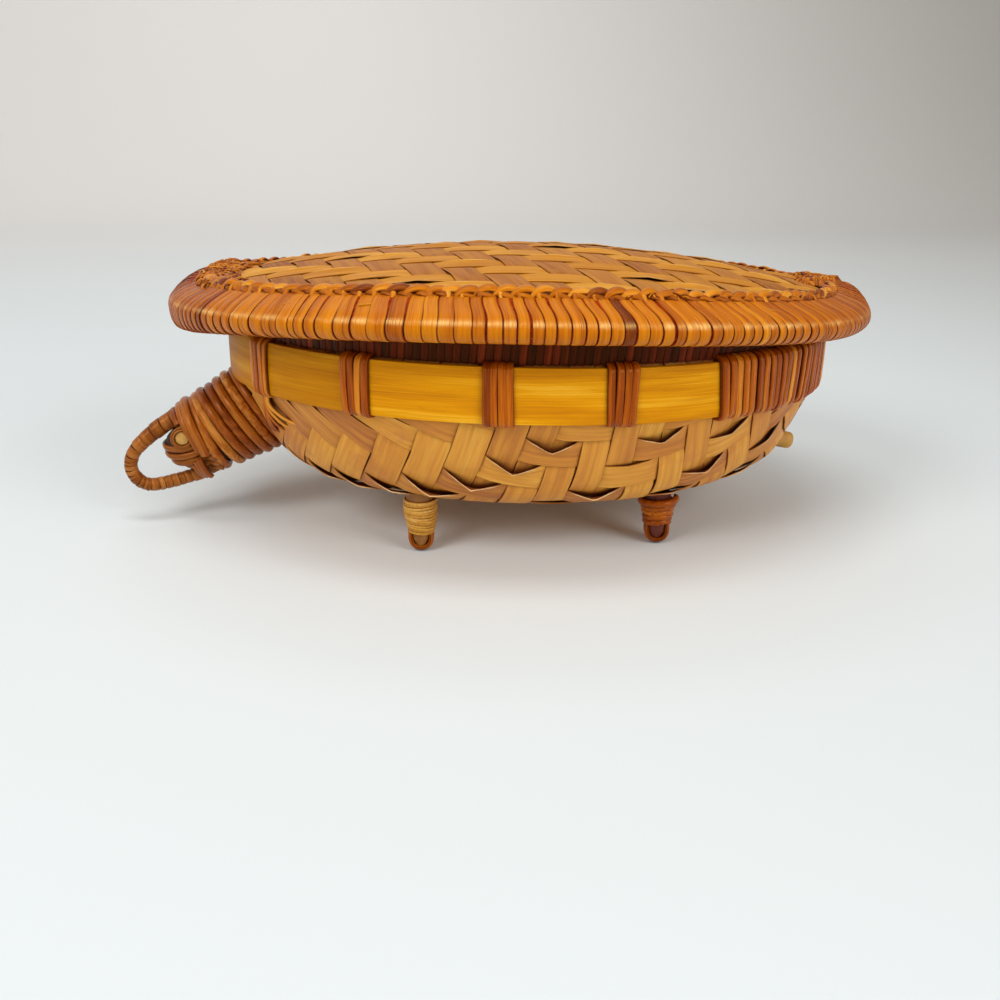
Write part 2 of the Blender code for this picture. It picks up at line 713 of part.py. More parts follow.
def turned(name, parent, profile, colour, steps=14):
    """A profile of (radius, height), listed from top to bottom, turned about Z."""
    bm = bmesh.new()
    corners = [bm.verts.new((radius, 0, height)) for radius, height in profile]
    for first, second in zip(corners, corners[1:]):
        bm.edges.new((first, second))
    obj = place(mesh_of(bm, name, smooth=False), name, parent, colour)
    screw = obj.modifiers.new("turn", "SCREW")
    screw.steps = steps
    screw.render_steps = steps
    screw.use_merge_vertices = True
    screw.merge_threshold = 0.00005
    return obj


def make_foot(name, x, y, strand, turns, blank):
    """A peg that meets the bowl, a strand wound round it and a strap folded over its toe."""
    core_bottom = TOE_STRAP_THICKNESS + CLEARANCE
    core_radius = FOOT_TOP_RADIUS - strand - CLEARANCE
    inside_bowl = BOWL_STANDOFF + 0.4 * BOWL_DEPTH
    shoulder = 0.8 * BOWL_STANDOFF
    toe_top = core_bottom + TOE_RADIUS
    profile = [
        (0, inside_bowl),
        (core_radius, inside_bowl),
        (core_radius, shoulder),
        (TOE_RADIUS, toe_top),
        (TOE_RADIUS / 2, core_bottom),
        (0, core_bottom),
    ]
    peg = turned(f"{name}_foot_peg", STAND, profile, BINDING_TAN)
    peg.location = (x, y, 0)
    cut(peg, blank, "bowl")

    start = TOE_HEIGHT + CLEARANCE + strand / 2
    end = BOWL_STANDOFF - x * math.tan(BASKET_LEAN) - 2 * CLEARANCE - strand / 2
    points_per_turn = 10
    count = turns * points_per_turn
    points = []
    for step in range(count + 1):
        height = start + (end - start) * step / count
        share = min(1, (height - toe_top) / (shoulder - toe_top))
        reach = TOE_RADIUS + (core_radius - TOE_RADIUS) * share + 1.5 * CLEARANCE + strand / 2
        angle = math.tau * step / points_per_turn
        points.append(Vector((reach * math.cos(angle), reach * math.sin(angle), height)))
    wrap = winding(f"{name}_foot_wrap", STAND, points, strand / 2, points_per_turn, BINDING_TAN)
    wrap.location = (x, y, 0)

    half_thickness = TOE_STRAP_THICKNESS / 2
    side = TOE_RADIUS + CLEARANCE + half_thickness
    outline = [(-side, TOE_HEIGHT)]
    corner_steps = 4
    for turn_x, first in ((-1, math.pi), (1, 1.5 * math.pi)):
        for step in range(corner_steps + 1):
            angle = first + math.pi / 2 * step / corner_steps
            centre_x = turn_x * (side - TOE_CORNER)
            outline.append(
                (
                    centre_x + TOE_CORNER * math.cos(angle),
                    half_thickness + TOE_CORNER + TOE_CORNER * math.sin(angle),
                )
            )
    outline.append((side, TOE_HEIGHT))
    strap = ribbon(
        f"{name}_toe_strap", STAND, outline, TOE_STRAP_WIDTH, TOE_STRAP_THICKNESS, CANE_ORANGE
    )
    strap.rotation_euler.x = math.pi / 2
    strap.location = (x, y, 0)


def make_tail(blank):
    """A short peg that stands out of the bowl's end, opposite the head."""
    profile = [
        (0, TAIL_LENGTH),
        (0.6 * TAIL_RADIUS, TAIL_LENGTH),
        (TAIL_RADIUS, TAIL_LENGTH - 0.5 * TAIL_RADIUS),
        (0.9 * TAIL_RADIUS, 0),
        (0, 0),
    ]
    tail = turned("tail_peg", LEAN, profile, BINDING_TAN, 10)
    tail.rotation_euler.y = math.pi / 2 + TAIL_DIP
    tail.location = (TAIL_TIP_X - TAIL_LENGTH * math.cos(TAIL_DIP), 0, TAIL_HEIGHT)
    cut(tail, blank, "bowl")


def lean_matrix():
    """The basket leans about the middle of its band's foot, head end up."""
    pivot = Vector((0, 0, BAND_BOTTOM))
    lean = Matrix.Rotation(BASKET_LEAN, 4, "Y")
    return Matrix.Translation(pivot) @ lean @ Matrix.Translation(-pivot)


clear_scene()
PARTS = new_collection("turtle_basket")
CUTTERS = new_collection("cutters")

lid_edge = lid_edge_height()
lean = lean_matrix()
loop_tip = min((lean @ head_frame() @ point).x for point in loop_route()) - LOOP_ROD / 2
lid_end = lean @ Vector((LID_HALF_LENGTH - LID_SHIFT, 0, lid_edge - LID_RIM_HEIGHT / 2))

STAND = empty("stand")
STAND.location.x = -(loop_tip + lid_end.x) / 2
LEAN = empty("leaning_basket", STAND)
LEAN.matrix_local = lean
HEAD = empty("head_axis", LEAN)
HEAD.matrix_local = head_frame()
bpy.context.view_layer.update()

woven_bowl = make_bowl()
bowl_blank = make_bowl_blank()
make_bands()
make_rim()
make_lashings(woven_bowl)

make_dome(lid_edge)
braid_inset = make_lid_rim(lid_edge)
make_braid(lid_edge, braid_inset)

make_tie()
make_head_core(HEAD, bowl_blank)
make_head_wrap(HEAD)
make_snout(HEAD)
make_nose_straps(HEAD)
tube("carrying_loop", HEAD, loop_route(), LOOP_ROD / 2, RATTAN_BROWN, sides=2)
for side, sign in (("left", -1), ("right", 1)):
    make_foot(f"front_{side}", FRONT_FEET_X, sign * FRONT_FEET_SPREAD, FRONT_STRAND, FRONT_TURNS, bowl_blank)
    make_foot(f"rear_{side}", REAR_FEET_X, sign * REAR_FEET_SPREAD, REAR_STRAND, REAR_TURNS, bowl_blank)
make_tail(bowl_blank)
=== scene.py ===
"""Looks of the turtle basket: plaited strips, cane wraps, braid, bamboo bands and rattan
lashings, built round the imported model. Lengths are in millimetres until a piece is built."""

import math

import bmesh
import bpy
import numpy as np
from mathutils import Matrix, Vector


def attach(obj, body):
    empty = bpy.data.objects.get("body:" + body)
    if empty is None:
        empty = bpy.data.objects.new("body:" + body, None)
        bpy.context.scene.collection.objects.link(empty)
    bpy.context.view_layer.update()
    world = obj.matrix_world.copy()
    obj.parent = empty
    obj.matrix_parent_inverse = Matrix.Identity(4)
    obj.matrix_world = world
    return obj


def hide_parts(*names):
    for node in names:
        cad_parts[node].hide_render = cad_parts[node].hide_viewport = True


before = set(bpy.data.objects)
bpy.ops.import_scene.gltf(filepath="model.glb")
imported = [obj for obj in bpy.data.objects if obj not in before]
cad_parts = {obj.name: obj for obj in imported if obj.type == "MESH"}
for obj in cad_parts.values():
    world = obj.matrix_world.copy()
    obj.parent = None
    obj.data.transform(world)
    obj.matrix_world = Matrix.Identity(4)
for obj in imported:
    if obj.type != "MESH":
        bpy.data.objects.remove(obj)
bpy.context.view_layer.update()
random = np.random.default_rng(11)
draw = random.uniform

# The frame's own sizes
SHIFT = 12.45
LEAN = math.radians(1)
MOUTH = np.array([106.2, 77.6])
WALL_INSET = 2.3
BAND_BOTTOM, BAND_TOP, BAND_THICKNESS = 54.6, 72.3, 2.0
BOWL_STANDOFF = 19.2
LID = np.array([123.6, 96.0])
LID_SHIFT = 1.8
LID_EDGE = 85.25
RIM_WIDTH = 13.2
DOME_RISE, SIDE_BOW = 12.3, 8.2
HEAD_BASE = np.array([-100.2, -8.0, 38.3])
HEAD_DIP, HEAD_TURN = math.radians(26), math.radians(15)
HEAD_LENGTH = 20.5
HEAD_RADII = 16.6, 14.4
FEET = {
    "front_left": (-35.8, -44.0), "front_right": (-35.8, 44.0),
    "rear_left": (46.7, -37.0), "rear_right": (46.7, 37.0),
}
TAIL_BASE, TAIL_DIP = np.array([82.6, 0, 30.6]), math.radians(8)

# Widths and counts of the strands
BOWL_STRIP, DOME_STRIP = 10.4, 10.9
WRAP_WIDTH = 3.75
BRAID_INSET, BRAID_ROUNDS, BRAID_FOLDS = 14.9, 37, 116
WHIPPING_PITCH = 2.5
LASHING_ANGLES = 215.0, 240.0, 265.0, 285.5
TAIL_LASHING_START, TAIL_LASHING_TURNS, TAIL_LASHING_PITCH = -53.6, 28, 2.75
COIL_PITCH = 3.5


def unit(v):
    return v / np.maximum(np.linalg.norm(v, axis=-1, keepdims=True), 1e-12)


def ease(x):
    x = np.clip(x, 0, 1)
    return x * x * (3 - 2 * x)


def xyz(x, y, z):
    return np.stack(np.broadcast_arrays(x, y, z), -1).astype(float)


def around(count):
    """Angles of even places round a circle."""
    return np.linspace(0, math.tau, count + 1)[:-1]


def distances(points):
    """How far along a line each of its points lies."""
    return np.concatenate([[0], np.cumsum(np.linalg.norm(np.diff(points, axis=0), axis=1))])


def smooth_line(points, count):
    """A line through the points, rounded by averaging, with count even places."""
    points = np.asarray(points, float)
    for _ in range(2):
        fine = np.empty((2 * len(points) - 2, points.shape[1]))
        fine[0::2] = 0.75 * points[:-1] + 0.25 * points[1:]
        fine[1::2] = 0.25 * points[:-1] + 0.75 * points[1:]
        points = np.vstack([points[:1], fine, points[-1:]])
    length = distances(points)
    return between(np.linspace(0, length[-1], count), length, points)


def between(at, length, rows):
    """Rows of numbers read at other distances along their line."""
    return np.stack([np.interp(at, length, column) for column in rows.T], -1)


def random_tone(middle, spread, low, high):
    return float(np.clip(random.normal(middle, spread), low, high))


def leaned(points):
    """From the basket's own frame to the row frame."""
    x, y, z = points[..., 0], points[..., 1], points[..., 2] - BAND_BOTTOM
    c, s = math.cos(LEAN), math.sin(LEAN)
    return xyz(c * x + s * z + SHIFT, y, c * z - s * x + BAND_BOTTOM)


def standing(points):
    return points + [SHIFT, 0, 0]


def head_axes():
    """Forward, aside and up for the head, in the basket's own frame."""
    turned = np.array([math.cos(HEAD_TURN), math.sin(HEAD_TURN)])
    ahead = np.array([*(-math.cos(HEAD_DIP) * turned), -math.sin(HEAD_DIP)])
    up = np.array([*(-math.sin(HEAD_DIP) * turned), math.cos(HEAD_DIP)])
    return np.array([ahead, np.cross(up, ahead), up])


def from_head(points):
    return leaned(points @ head_axes() + HEAD_BASE)


# Outlines across a strand, as shares of its half width and of its thickness


def outline(half, base):
    half = np.array(half)
    return np.vstack([half * [-1, 1], [(0, 1)], half[::-1], [base, (-base[0], base[1])]])


CANE = outline([(1, 0.15), (0.95, 0.6), (0.8, 0.88), (0.4, 0.98)], (0.85, -0.1))
DEE = outline([(1, 0.18), (0.92, 0.48), (0.7, 0.75), (0.38, 0.94)], (0.75, -0.05))
ROUND = np.array([
    (math.cos(a), 0.5 + 0.5 * math.sin(a)) for a in np.linspace(math.pi, -math.pi, 12, endpoint=False)
])


def add_object(name, data):
    obj = bpy.data.objects.new(name, data)
    bpy.context.scene.collection.objects.link(obj)
    return obj


class Pile:
    """Gathers strands as points and faces, with what the materials read. lay holds the distance
    along, the place across, and a level that is 1 on the face, less behind it, and more where an
    edge gapes, which gets a painted highlight, and where the cane has wear with a painted
    highlight on the bend. tone is the strand's own shade."""

    def __init__(self):
        self.points, self.faces, self.lay, self.tone, self.count = [], [], [], [], 0

    def grid(self, points, along, across, tone, tube=True, ring=False, level=1.0):
        """A grid of points with faces. A tube is closed across, and a ring is closed along."""
        n, m = points.shape[:2]
        index = np.arange(n * m).reshape(n, m) + self.count
        rows = np.vstack([index, index[:1]]) if ring else index
        cols = np.hstack([rows, rows[:, :1]]) if tube else rows
        quads = np.stack([cols[:-1, :-1], cols[1:, :-1], cols[1:, 1:], cols[:-1, 1:]], -1)
        self.faces += quads.reshape(-1, 4).tolist()
        if tube and not ring:
            self.faces += [index[0].tolist(), index[-1][::-1].tolist()]
        self.points.append(points.reshape(-1, 3))
        lay = xyz(np.reshape(along, (-1, 1)), across, level)
        self.lay.append(np.broadcast_to(lay, (n, m, 3)).reshape(-1, 3))
        self.tone.append(np.broadcast_to(tone, (n, m)).ravel())
        self.count += n * m

    def strand(self, path, up, width, thick, tone, outline=DEE, ring=False, level=1.0):
        """A strand along path, its crown towards up."""
        if ring:
            ahead = unit(np.roll(path, -1, 0) - np.roll(path, 1, 0))
        else:
            ahead = unit(np.gradient(path, axis=0))
        side = unit(np.cross(ahead, np.broadcast_to(up, path.shape)))
        up = np.cross(side, ahead)
        width = np.broadcast_to(width, len(path))[:, None, None]
        thick = np.broadcast_to(thick, len(path))[:, None, None]
        c, h = outline[:, 0], outline[:, 1]
        aside = side[:, None] * c[None, :, None] * width / 2
        points = path[:, None] + aside + up[:, None] * h[None, :, None] * thick
        self.grid(points, distances(path) + draw(0, 500), c, tone, ring=ring, level=level)

    def build(self, name, material, slot, *replaces, body="basket", place=leaned, smooth=50):
        points = place(np.vstack(self.points)) / 1000
        mesh = bpy.data.meshes.new(name)
        mesh.from_pydata(points.tolist(), [], self.faces)
        lay = mesh.attributes.new("lay", "FLOAT_VECTOR", "POINT")
        lay.data.foreach_set("vector", np.vstack(self.lay).astype(np.float32).ravel())
        tone = mesh.attributes.new("tone", "FLOAT", "POINT")
        tone.data.foreach_set("value", np.concatenate(self.tone).astype(np.float32))
        bm = bmesh.new()
        bm.from_mesh(mesh)
        bmesh.ops.recalc_face_normals(bm, faces=bm.faces)
        bm.to_mesh(mesh)
        bm.free()
        mesh.shade_smooth()
        mesh.set_sharp_from_angle(angle=math.radians(smooth))
        mesh.materials.append(material)
        obj = add_object(name, mesh)
        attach(obj, body)
        if replaces:
            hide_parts(*replaces)


def dress(node, material):
    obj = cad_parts[node]
    obj.data.materials.clear()
    obj.data.materials.append(material)


# Materials: what lay holds and half_width are in millimetres, places and depths in metres


def colour(code):
    """A colour written as in a picture, such as E0A02A, as a linear one."""
    parts = [int(code[i : i + 2], 16) / 255 for i in (0, 2, 4)]
    return (*[p / 12.92 if p < 0.04045 else ((p + 0.055) / 1.055) ** 2.4 for p in parts], 1)


def stops(codes, places=(0.0, 0.4, 0.7, 1.0)):
    """The stops of a colour ramp, their codes as one text."""
    return list(zip(places, codes.split()))


class Nodes:
    """Short words for the nodes of a material or a world. A colour may be given by its code."""

    def __init__(self, owner):
        owner.use_nodes = True
        self.owner = owner
        self.tree = owner.node_tree

    def fill(self, node, inputs):
        for key, value in inputs.items():
            if isinstance(value, bpy.types.NodeSocket):
                self.tree.links.new(value, node.inputs[key])
            else:
                node.inputs[key].default_value = colour(value) if isinstance(value, str) else value

    def shade(self, inputs):
        self.fill(self.tree.nodes["Principled BSDF"], inputs)
        return self.owner

    def put(self, kind, inputs={}, **settings):
        node = self.tree.nodes.new("ShaderNode" + kind)
        for key, value in settings.items():
            setattr(node, key, value)
        self.fill(node, inputs)
        return node

    def calc(self, operation, a, b=0.0):
        return self.put("Math", {0: a, 1: b}, operation=operation).outputs[0]

    def add(self, a, b):
        return self.calc("ADD", a, b)

    def times(self, a, b):
        return self.calc("MULTIPLY", a, b)

    def span(self, value, low, high, to_low=0.0, to_high=1.0):
        inputs = {0: value, 1: low, 2: high, 3: to_low, 4: to_high}
        return self.put("MapRange", inputs, interpolation_type="SMOOTHSTEP").outputs[0]

    def mix(self, share, a, b, blend="MIX"):
        return self.put("Mix", {0: share, 6: a, 7: b}, data_type="RGBA", blend_type=blend).outputs[2]

    def ramp(self, value, steps):
        node = self.put("ValToRGB", {0: value})
        elements = node.color_ramp.elements
        while len(elements) < len(steps):
            elements.new(0.5)
        for element, (place, code) in zip(elements, steps):
            element.position = place
            element.color = colour(code)
        return node.outputs[0]

    def noise(self, vector, scale=1.0, detail=3.0, rough=0.55):
        inputs = {"Vector": vector, "Scale": scale, "Detail": detail, "Roughness": rough}
        return self.put("TexNoise", inputs).outputs[0]

    def vector(self, x, y, z):
        return self.put("CombineXYZ", {0: x, 1: y, 2: z}).outputs[0]

    def split(self, vector):
        return self.put("SeparateXYZ", {0: vector}).outputs

    def attribute(self, name, output):
        return self.put("Attribute", attribute_name=name).outputs[output]

    def place(self):
        return self.put("TexCoord").outputs["Object"]

    def bump(self, height, distance):
        return self.put("Bump", {"Height": height, "Distance": distance}).outputs[0]

    def painted_crease_shade(self, base, crease_shade_colour, reach, low, high, share):
        """base with a share of dark colour where the surface lies deep in a crease: painted shade."""
        hollow = self.put("AmbientOcclusion", {"Distance": reach}, samples=6).outputs["AO"]
        return self.mix(self.span(hollow, low, high, share, 0.0), base, crease_shade_colour)


def strand_material(
    name, steps, seam, half_width, rough, fibre, shine, crease_shade_colour, edge=0.84, coat=0.0, gloss=0.2, bump=0.00006,
    glint="FFB060", vary=0.2, crease_shade_share=0.9, reach=0.0025, open_sky=0.75, stain=None, lifted_edge_highlight=None, wear_and_sheen_colour=None,
):
    """Split cane, rattan or bamboo: fibres along the strand, stains, edges, a painted highlight on lifted
    edges, wear with a painted highlight on the bend, and painted shade in the creases.
    """
    n = Nodes(bpy.data.materials.new(name))
    along, side, level = n.split(n.attribute("lay", "Vector"))
    tone = n.attribute("tone", "Fac")
    seed = n.times(tone, 71.3)
    across = n.times(side, half_width)
    fine = n.noise(n.vector(n.times(along, 0.05), n.times(across, 3.2), seed), 1.0, 4.0, 0.62)
    broad = n.noise(n.vector(n.times(along, 0.03), n.times(across, 0.5), n.add(seed, 9.0)))
    shade = n.add(tone, n.span(broad, 0.3, 0.7, -vary, vary))
    base = n.ramp(n.add(shade, n.span(fine, 0.3, 0.7, -0.16 * fibre, 0.16 * fibre)), steps)
    base = n.mix(n.span(fine, 0.52, 0.75, 0.0, 0.55 * fibre), base, seam)
    if stain:
        patch = n.noise(n.place(), 60.0, 4.0, 0.6)
        base = n.mix(n.span(patch, 0.5, 0.72, 0.0, 0.6), base, stain)
    aside = n.calc("ABSOLUTE", side)
    rim = n.span(aside, edge, 1.0, 0.0, 0.9)
    if lifted_edge_highlight:
        base = n.mix(n.times(rim, 0.45), base, seam)
        # Where an edge gapes and stands off, a pale painted highlight
        edge_highlight_share = n.times(n.span(aside, edge - 0.06, edge), n.span(level, 1.12, 1.4))
        base = n.mix(edge_highlight_share, base, lifted_edge_highlight)
    else:
        base = n.mix(rim, base, seam)
    # Wear with a painted highlight, on the bend of the lid's wraps
    if wear_and_sheen_colour:
        wear_and_sheen_amount = n.times(n.span(level, 1.05, 1.8, 0.0, 0.85), n.span(fine, 0.36, 0.6, 0.25, 1.0))
        base = n.mix(wear_and_sheen_amount, base, wear_and_sheen_colour)
    base = n.mix(n.span(level, 0.0, 0.6, 0.55, 0.0), base, seam)
    return n.shade({
        "Base Color": n.painted_crease_shade(base, crease_shade_colour, reach, 0.15, open_sky, crease_shade_share),
        "Roughness": n.span(fine, 0.3, 0.7, rough - 0.07, rough + 0.12),
        "Specular IOR Level": shine,
        "Specular Tint": glint,
        "Coat Weight": coat,
        "Coat Roughness": gloss,
        "Normal": n.bump(n.add(fine, n.times(broad, 0.6)), bump),
    })


# A dark sheet under the lid's wraps, seen in the gaps between them: painted shade
def shade_sheet_material():
    n = Nodes(bpy.data.materials.new("wrap_shade_sheet"))
    patch = n.noise(n.place(), 400.0)
    base = n.mix(n.span(patch, 0.35, 0.7), "A8340E", "701A08")
    bump = n.bump(patch, 0.0002)
    return n.shade({"Base Color": base, "Roughness": 0.6, "Specular IOR Level": 0.03, "Normal": bump})


def bamboo_material(name, steps, speck):
    """Satin bamboo with fine level grain, for bands whose length runs round the basket."""
    n = Nodes(bpy.data.materials.new(name))
    x, y, z = n.split(n.place())
    level = n.add(z, n.times(x, math.tan(LEAN)))

    def grain(along, up, detail, rough=0.55):
        return n.noise(n.vector(n.times(x, along), n.times(y, along), n.times(level, up)), 1.0, detail, rough)

    fine, broad = grain(26.0, 2600.0, 4.0, 0.65), grain(14.0, 190.0, 3.0)
    base = n.ramp(n.add(n.span(broad, 0.28, 0.72, 0.15, 0.85), n.span(fine, 0.3, 0.7, -0.2, 0.2)), steps)
    base = n.mix(n.span(grain(20.0, 1500.0, 2.0, 0.5), 0.62, 0.76, 0.0, 0.32), base, speck)
    base = n.mix(n.span(grain(130.0, 900.0, 2.0), 0.68, 0.8, 0.0, 0.6), base, speck)
    # Painted shade in the creases
    base = n.painted_crease_shade(base, "4A1A04", 0.003, 0.1, 0.8, 0.85)
    # Greyer and darker towards the head
    for start, end, share, code in ((-0.098, -0.075, 0.55, "D0A060"), (-0.044, -0.038, 1.0, "E2DED4")):
        base = n.mix(n.span(x, start, end, share, 0.0), base, n.mix(1.0, base, code, "MULTIPLY"))
    return n.shade({
        "Base Color": base,
        "Roughness": n.span(fine, 0.3, 0.7, 0.34, 0.5),
        "Specular IOR Level": 0.08,
        "Normal": n.bump(fine, 0.00008),
    })


def wood_material(name, codes, scale=300.0):
    n = Nodes(bpy.data.materials.new(name))
    fine = n.noise(n.place(), scale, 4.0, 0.6)
    broad = n.noise(n.place(), scale / 6)
    mixed = n.add(n.times(fine, 0.5), n.times(broad, 0.5))
    return n.shade({
        "Base Color": n.ramp(mixed, stops(codes, (0.25, 0.5, 0.75))),
        "Roughness": n.span(fine, 0.3, 0.7, 0.47, 0.67),
        "Normal": n.bump(fine, 0.0002),
    })


EARLY = 0.0, 0.35, 0.65, 1.0
CANE_LOOK = strand_material(
    "cane_orange", stops("6A2802 A24C02 C66C02 D88306 F0AA34", (0.0, 0.22, 0.5, 0.8, 1.0)),
    "6A2202", 1.9, rough=0.32, fibre=0.95, shine=0.4, crease_shade_colour="5E1402", edge=0.86, coat=0.06, gloss=0.12,
    bump=0.00012, glint="FFB868", vary=0.16, crease_shade_share=0.85, wear_and_sheen_colour="FFCE7C",
)
BRAID_LOOK = strand_material(
    "braid_orange", stops("6E2A02 B05C04 D07C0C E8A238"),
    "642002", 0.9, rough=0.32, fibre=0.9, shine=0.4, crease_shade_colour="4A0E02", coat=0.04, crease_shade_share=0.94, reach=0.003,
    open_sky=0.84,
)
LASH_LOOK = strand_material(
    "rattan_brown", stops("6E2602 A84A02 CA6C06 E89A32", EARLY),
    "5A1A02", 1.3, rough=0.26, fibre=1.1, shine=0.5, crease_shade_colour="380802", edge=0.8, coat=0.08, gloss=0.12,
    bump=0.0001, crease_shade_share=0.92,
)
# The whipping's own red-brown, painted darker for the shade under the lid, with wide painted shade in its
# creases
WHIP_IN_SHADE_LOOK = strand_material(
    "rim_brown_painted_shade", stops("240404 420E06 60180C 8A3014", EARLY),
    "300604", 1.2, rough=0.32, fibre=0.8, shine=0.25, crease_shade_colour="160202", edge=0.75, crease_shade_share=0.96, reach=0.007,
    open_sky=0.86,
)
HEAD_LOOK = strand_material(
    "head_rattan", stops("6A2A06 98480C B2641A D08838"),
    "5A1E04", 1.6, rough=0.28, fibre=1.2, shine=0.5, crease_shade_colour="361004", coat=0.14, gloss=0.14, bump=0.0001,
)
LOOP_LOOK = strand_material(
    "loop_rattan", stops("602A0C 8A4A14 A4602A C68A48"),
    "582206", 1.4, rough=0.28, fibre=1.1, shine=0.45, crease_shade_colour="361004", coat=0.06, bump=0.0001, reach=0.0018,
)
PLAIT_LOOK = strand_material(
    "plait_tan", stops("AE6838 CC863C DC9840 EAB250", EARLY),
    "8A5016", 5.2, rough=0.42, fibre=0.6, shine=0.2, crease_shade_colour="5A1404", edge=0.95, crease_shade_share=0.94, reach=0.0058,
    open_sky=0.84, stain="BE743E", lifted_edge_highlight="FFD498",
)
DOME_GOLD_LOOK = strand_material(
    "dome_gold", stops("B46C10 CA821E D89228 E6AA44"),
    "8A4A0C", 5.4, rough=0.44, fibre=0.6, shine=0.06, crease_shade_colour="561A06", edge=0.95, crease_shade_share=0.85, reach=0.0035,
    stain="BE762C", lifted_edge_highlight="F0C070",
)
DOME_PINK_LOOK = strand_material(
    "dome_pink", stops("90501E B06C2E C07E34 CE8E32"),
    "6E3612", 5.4, rough=0.46, fibre=0.65, shine=0.06, crease_shade_colour="561A06", edge=0.95, crease_shade_share=0.85, reach=0.0035,
    stain="C4841E", lifted_edge_highlight="DCA456",
)
TAN_LOOK = strand_material(
    "binding_tan", stops("AE742A CA923E DAA450 EEC27A"),
    "7E4614", 0.6, rough=0.5, fibre=0.9, shine=0.14, crease_shade_colour="4A2006", edge=0.76, reach=0.0012,
)
REAR_LOOK = strand_material(
    "foot_orange", stops("7E2E02 A04A04 BA620A DC8A26"),
    "561A02", 1.2, rough=0.26, fibre=1.0, shine=0.5, crease_shade_colour="2E0602", edge=0.82, coat=0.1, gloss=0.12,
)
SHADE_SHEET_LOOK = shade_sheet_material()
BAND_LOOK = bamboo_material("bamboo_gold", stops("C67802 DA8C01 E89C02 F6B830", EARLY), "9E5C06")
HOOP_LOOK = bamboo_material("bamboo_plain", stops("B47C30 D09C4A DEAE5C EAC078"), "8E5A22")
PEG_LOOK = wood_material("peg_tan", "9A6A2A C8943C E0B45C")
CORE_LOOK = wood_material("core_brown", "260E06 40200E 5A3016")
PITH_LOOK = wood_material("pith", "A8762C CC9A48 E2B86C", 900.0)
REAR_PEG_LOOK = wood_material("toe_brown", "3E1006 5E1E0A 82380E")
FRONT_PEG_LOOK = wood_material("foot_peg", "6E3A12 9A6426 BC8440")


# Ovals


class Oval:
    """An oval line, by its angle or by the distance along it."""

    def __init__(self, axes):
        self.axes = axes
        self.angles = np.linspace(0, math.tau, 4000)
        self.along = distances(xyz(axes[0] * np.cos(self.angles), axes[1] * np.sin(self.angles), 0))
        self.length = self.along[-1]

    def angle(self, distance):
        return np.interp(np.mod(distance, self.length), self.along, self.angles)

    def distance(self, angle):
        return float(np.interp(angle, self.angles, self.along))

    def ahead(self, angle):
        return unit(xyz(-self.axes[0] * np.sin(angle), self.axes[1] * np.cos(angle), 0))

    def out(self, angle):
        return unit(xyz(self.axes[1] * np.cos(angle), self.axes[0] * np.sin(angle), 0))


MOUTH_OVAL = Oval(MOUTH)
LID_OVAL = Oval(LID)
BRAID_OVAL = Oval(LID - BRAID_INSET)


def mouth_at(angle, inset, height):
    return xyz((MOUTH[0] - inset) * np.cos(angle), (MOUTH[1] - inset) * np.sin(angle), height)


def lid_at(angle, inset, height):
    """A point by how far in from the lid's outline it lies. The lid bows up on its near side."""
    bow = np.where(np.sin(angle) < 0, SIDE_BOW * np.sin(angle) ** 2, 0.0)
    return xyz((LID[0] - inset) * np.cos(angle) - LID_SHIFT, (LID[1] - inset) * np.sin(angle), height + bow)


def apart(angle, centre):
    """Degrees from a centre in degrees to an angle in radians, the short way round."""
    return np.degrees(np.angle(np.exp(1j * (angle - math.radians(centre)))))


def near(angle, *bumps):
    """A sum of bumps round an oval, each as its height, its centre and its width in degrees."""
    return sum(height * np.exp(-((apart(angle, centre) / width) ** 2)) for height, centre, width in bumps)


# Plaited surfaces: a flat mat of two sets of strips, at u and v, laid on a form


def bowl_profile():
    """Half length, half width and height of the plaited wall, from the floor's middle to the rim."""
    floor_end, floor_ratio = 60, 0.695
    wall, wall_top = MOUTH - WALL_INSET, BAND_BOTTOM
    t = np.linspace(0, 1, 50)[:, None]
    corners = np.array([(floor_end, BOWL_STANDOFF), (96, BOWL_STANDOFF), (92, 34.7), (wall[0], wall_top)])
    side = np.hstack([(1 - t) ** 3, 3 * t * (1 - t) ** 2, 3 * t * t * (1 - t), t**3]) @ corners
    rise = (side[:, 1] - BOWL_STANDOFF) / (wall_top - BOWL_STANDOFF)
    ratio = floor_ratio + (wall[1] / wall[0] - floor_ratio) * rise
    floor = np.linspace(0, floor_end, 16)[:-1]
    step_in = np.array([0, 0, 2.4, 2.4, 2.4])
    a = np.concatenate([floor, side[:, 0], wall[0] - step_in])
    b = np.concatenate([floor * floor_ratio, side[:, 0] * ratio, wall[1] - step_in])
    z = np.concatenate([floor * 0 + BOWL_STANDOFF, side[:, 1], [63, 71.6, 75.6, 79, 82.6]])
    return a, b, z


BOWL_A, BOWL_B, BOWL_Z = bowl_profile()
BOWL_ROWS = np.arange(len(BOWL_A))
BOWL_U = distances(np.stack([BOWL_A, BOWL_Z], -1))
BOWL_V = distances(np.stack([BOWL_B, BOWL_Z], -1))


def bowl_row(level, *columns):
    """Numbers of the profile at a level, which is a place in its table."""
    return (np.interp(level, BOWL_ROWS, column) for column in columns)


def bowl_level(u, v):
    """How far up the profile a point of the mat lies."""
    low, high = np.full(u.shape, 1e-4), np.full(u.shape, len(BOWL_A) - 1.0)
    for _ in range(24):
        middle = (low + high) / 2
        end_u, end_v = bowl_row(middle, BOWL_U, BOWL_V)
        reach = (u / end_u) ** 2 + (v / end_v) ** 2
        low, high = np.where(reach > 1, middle, low), np.where(reach > 1, high, middle)
    return (low + high) / 2


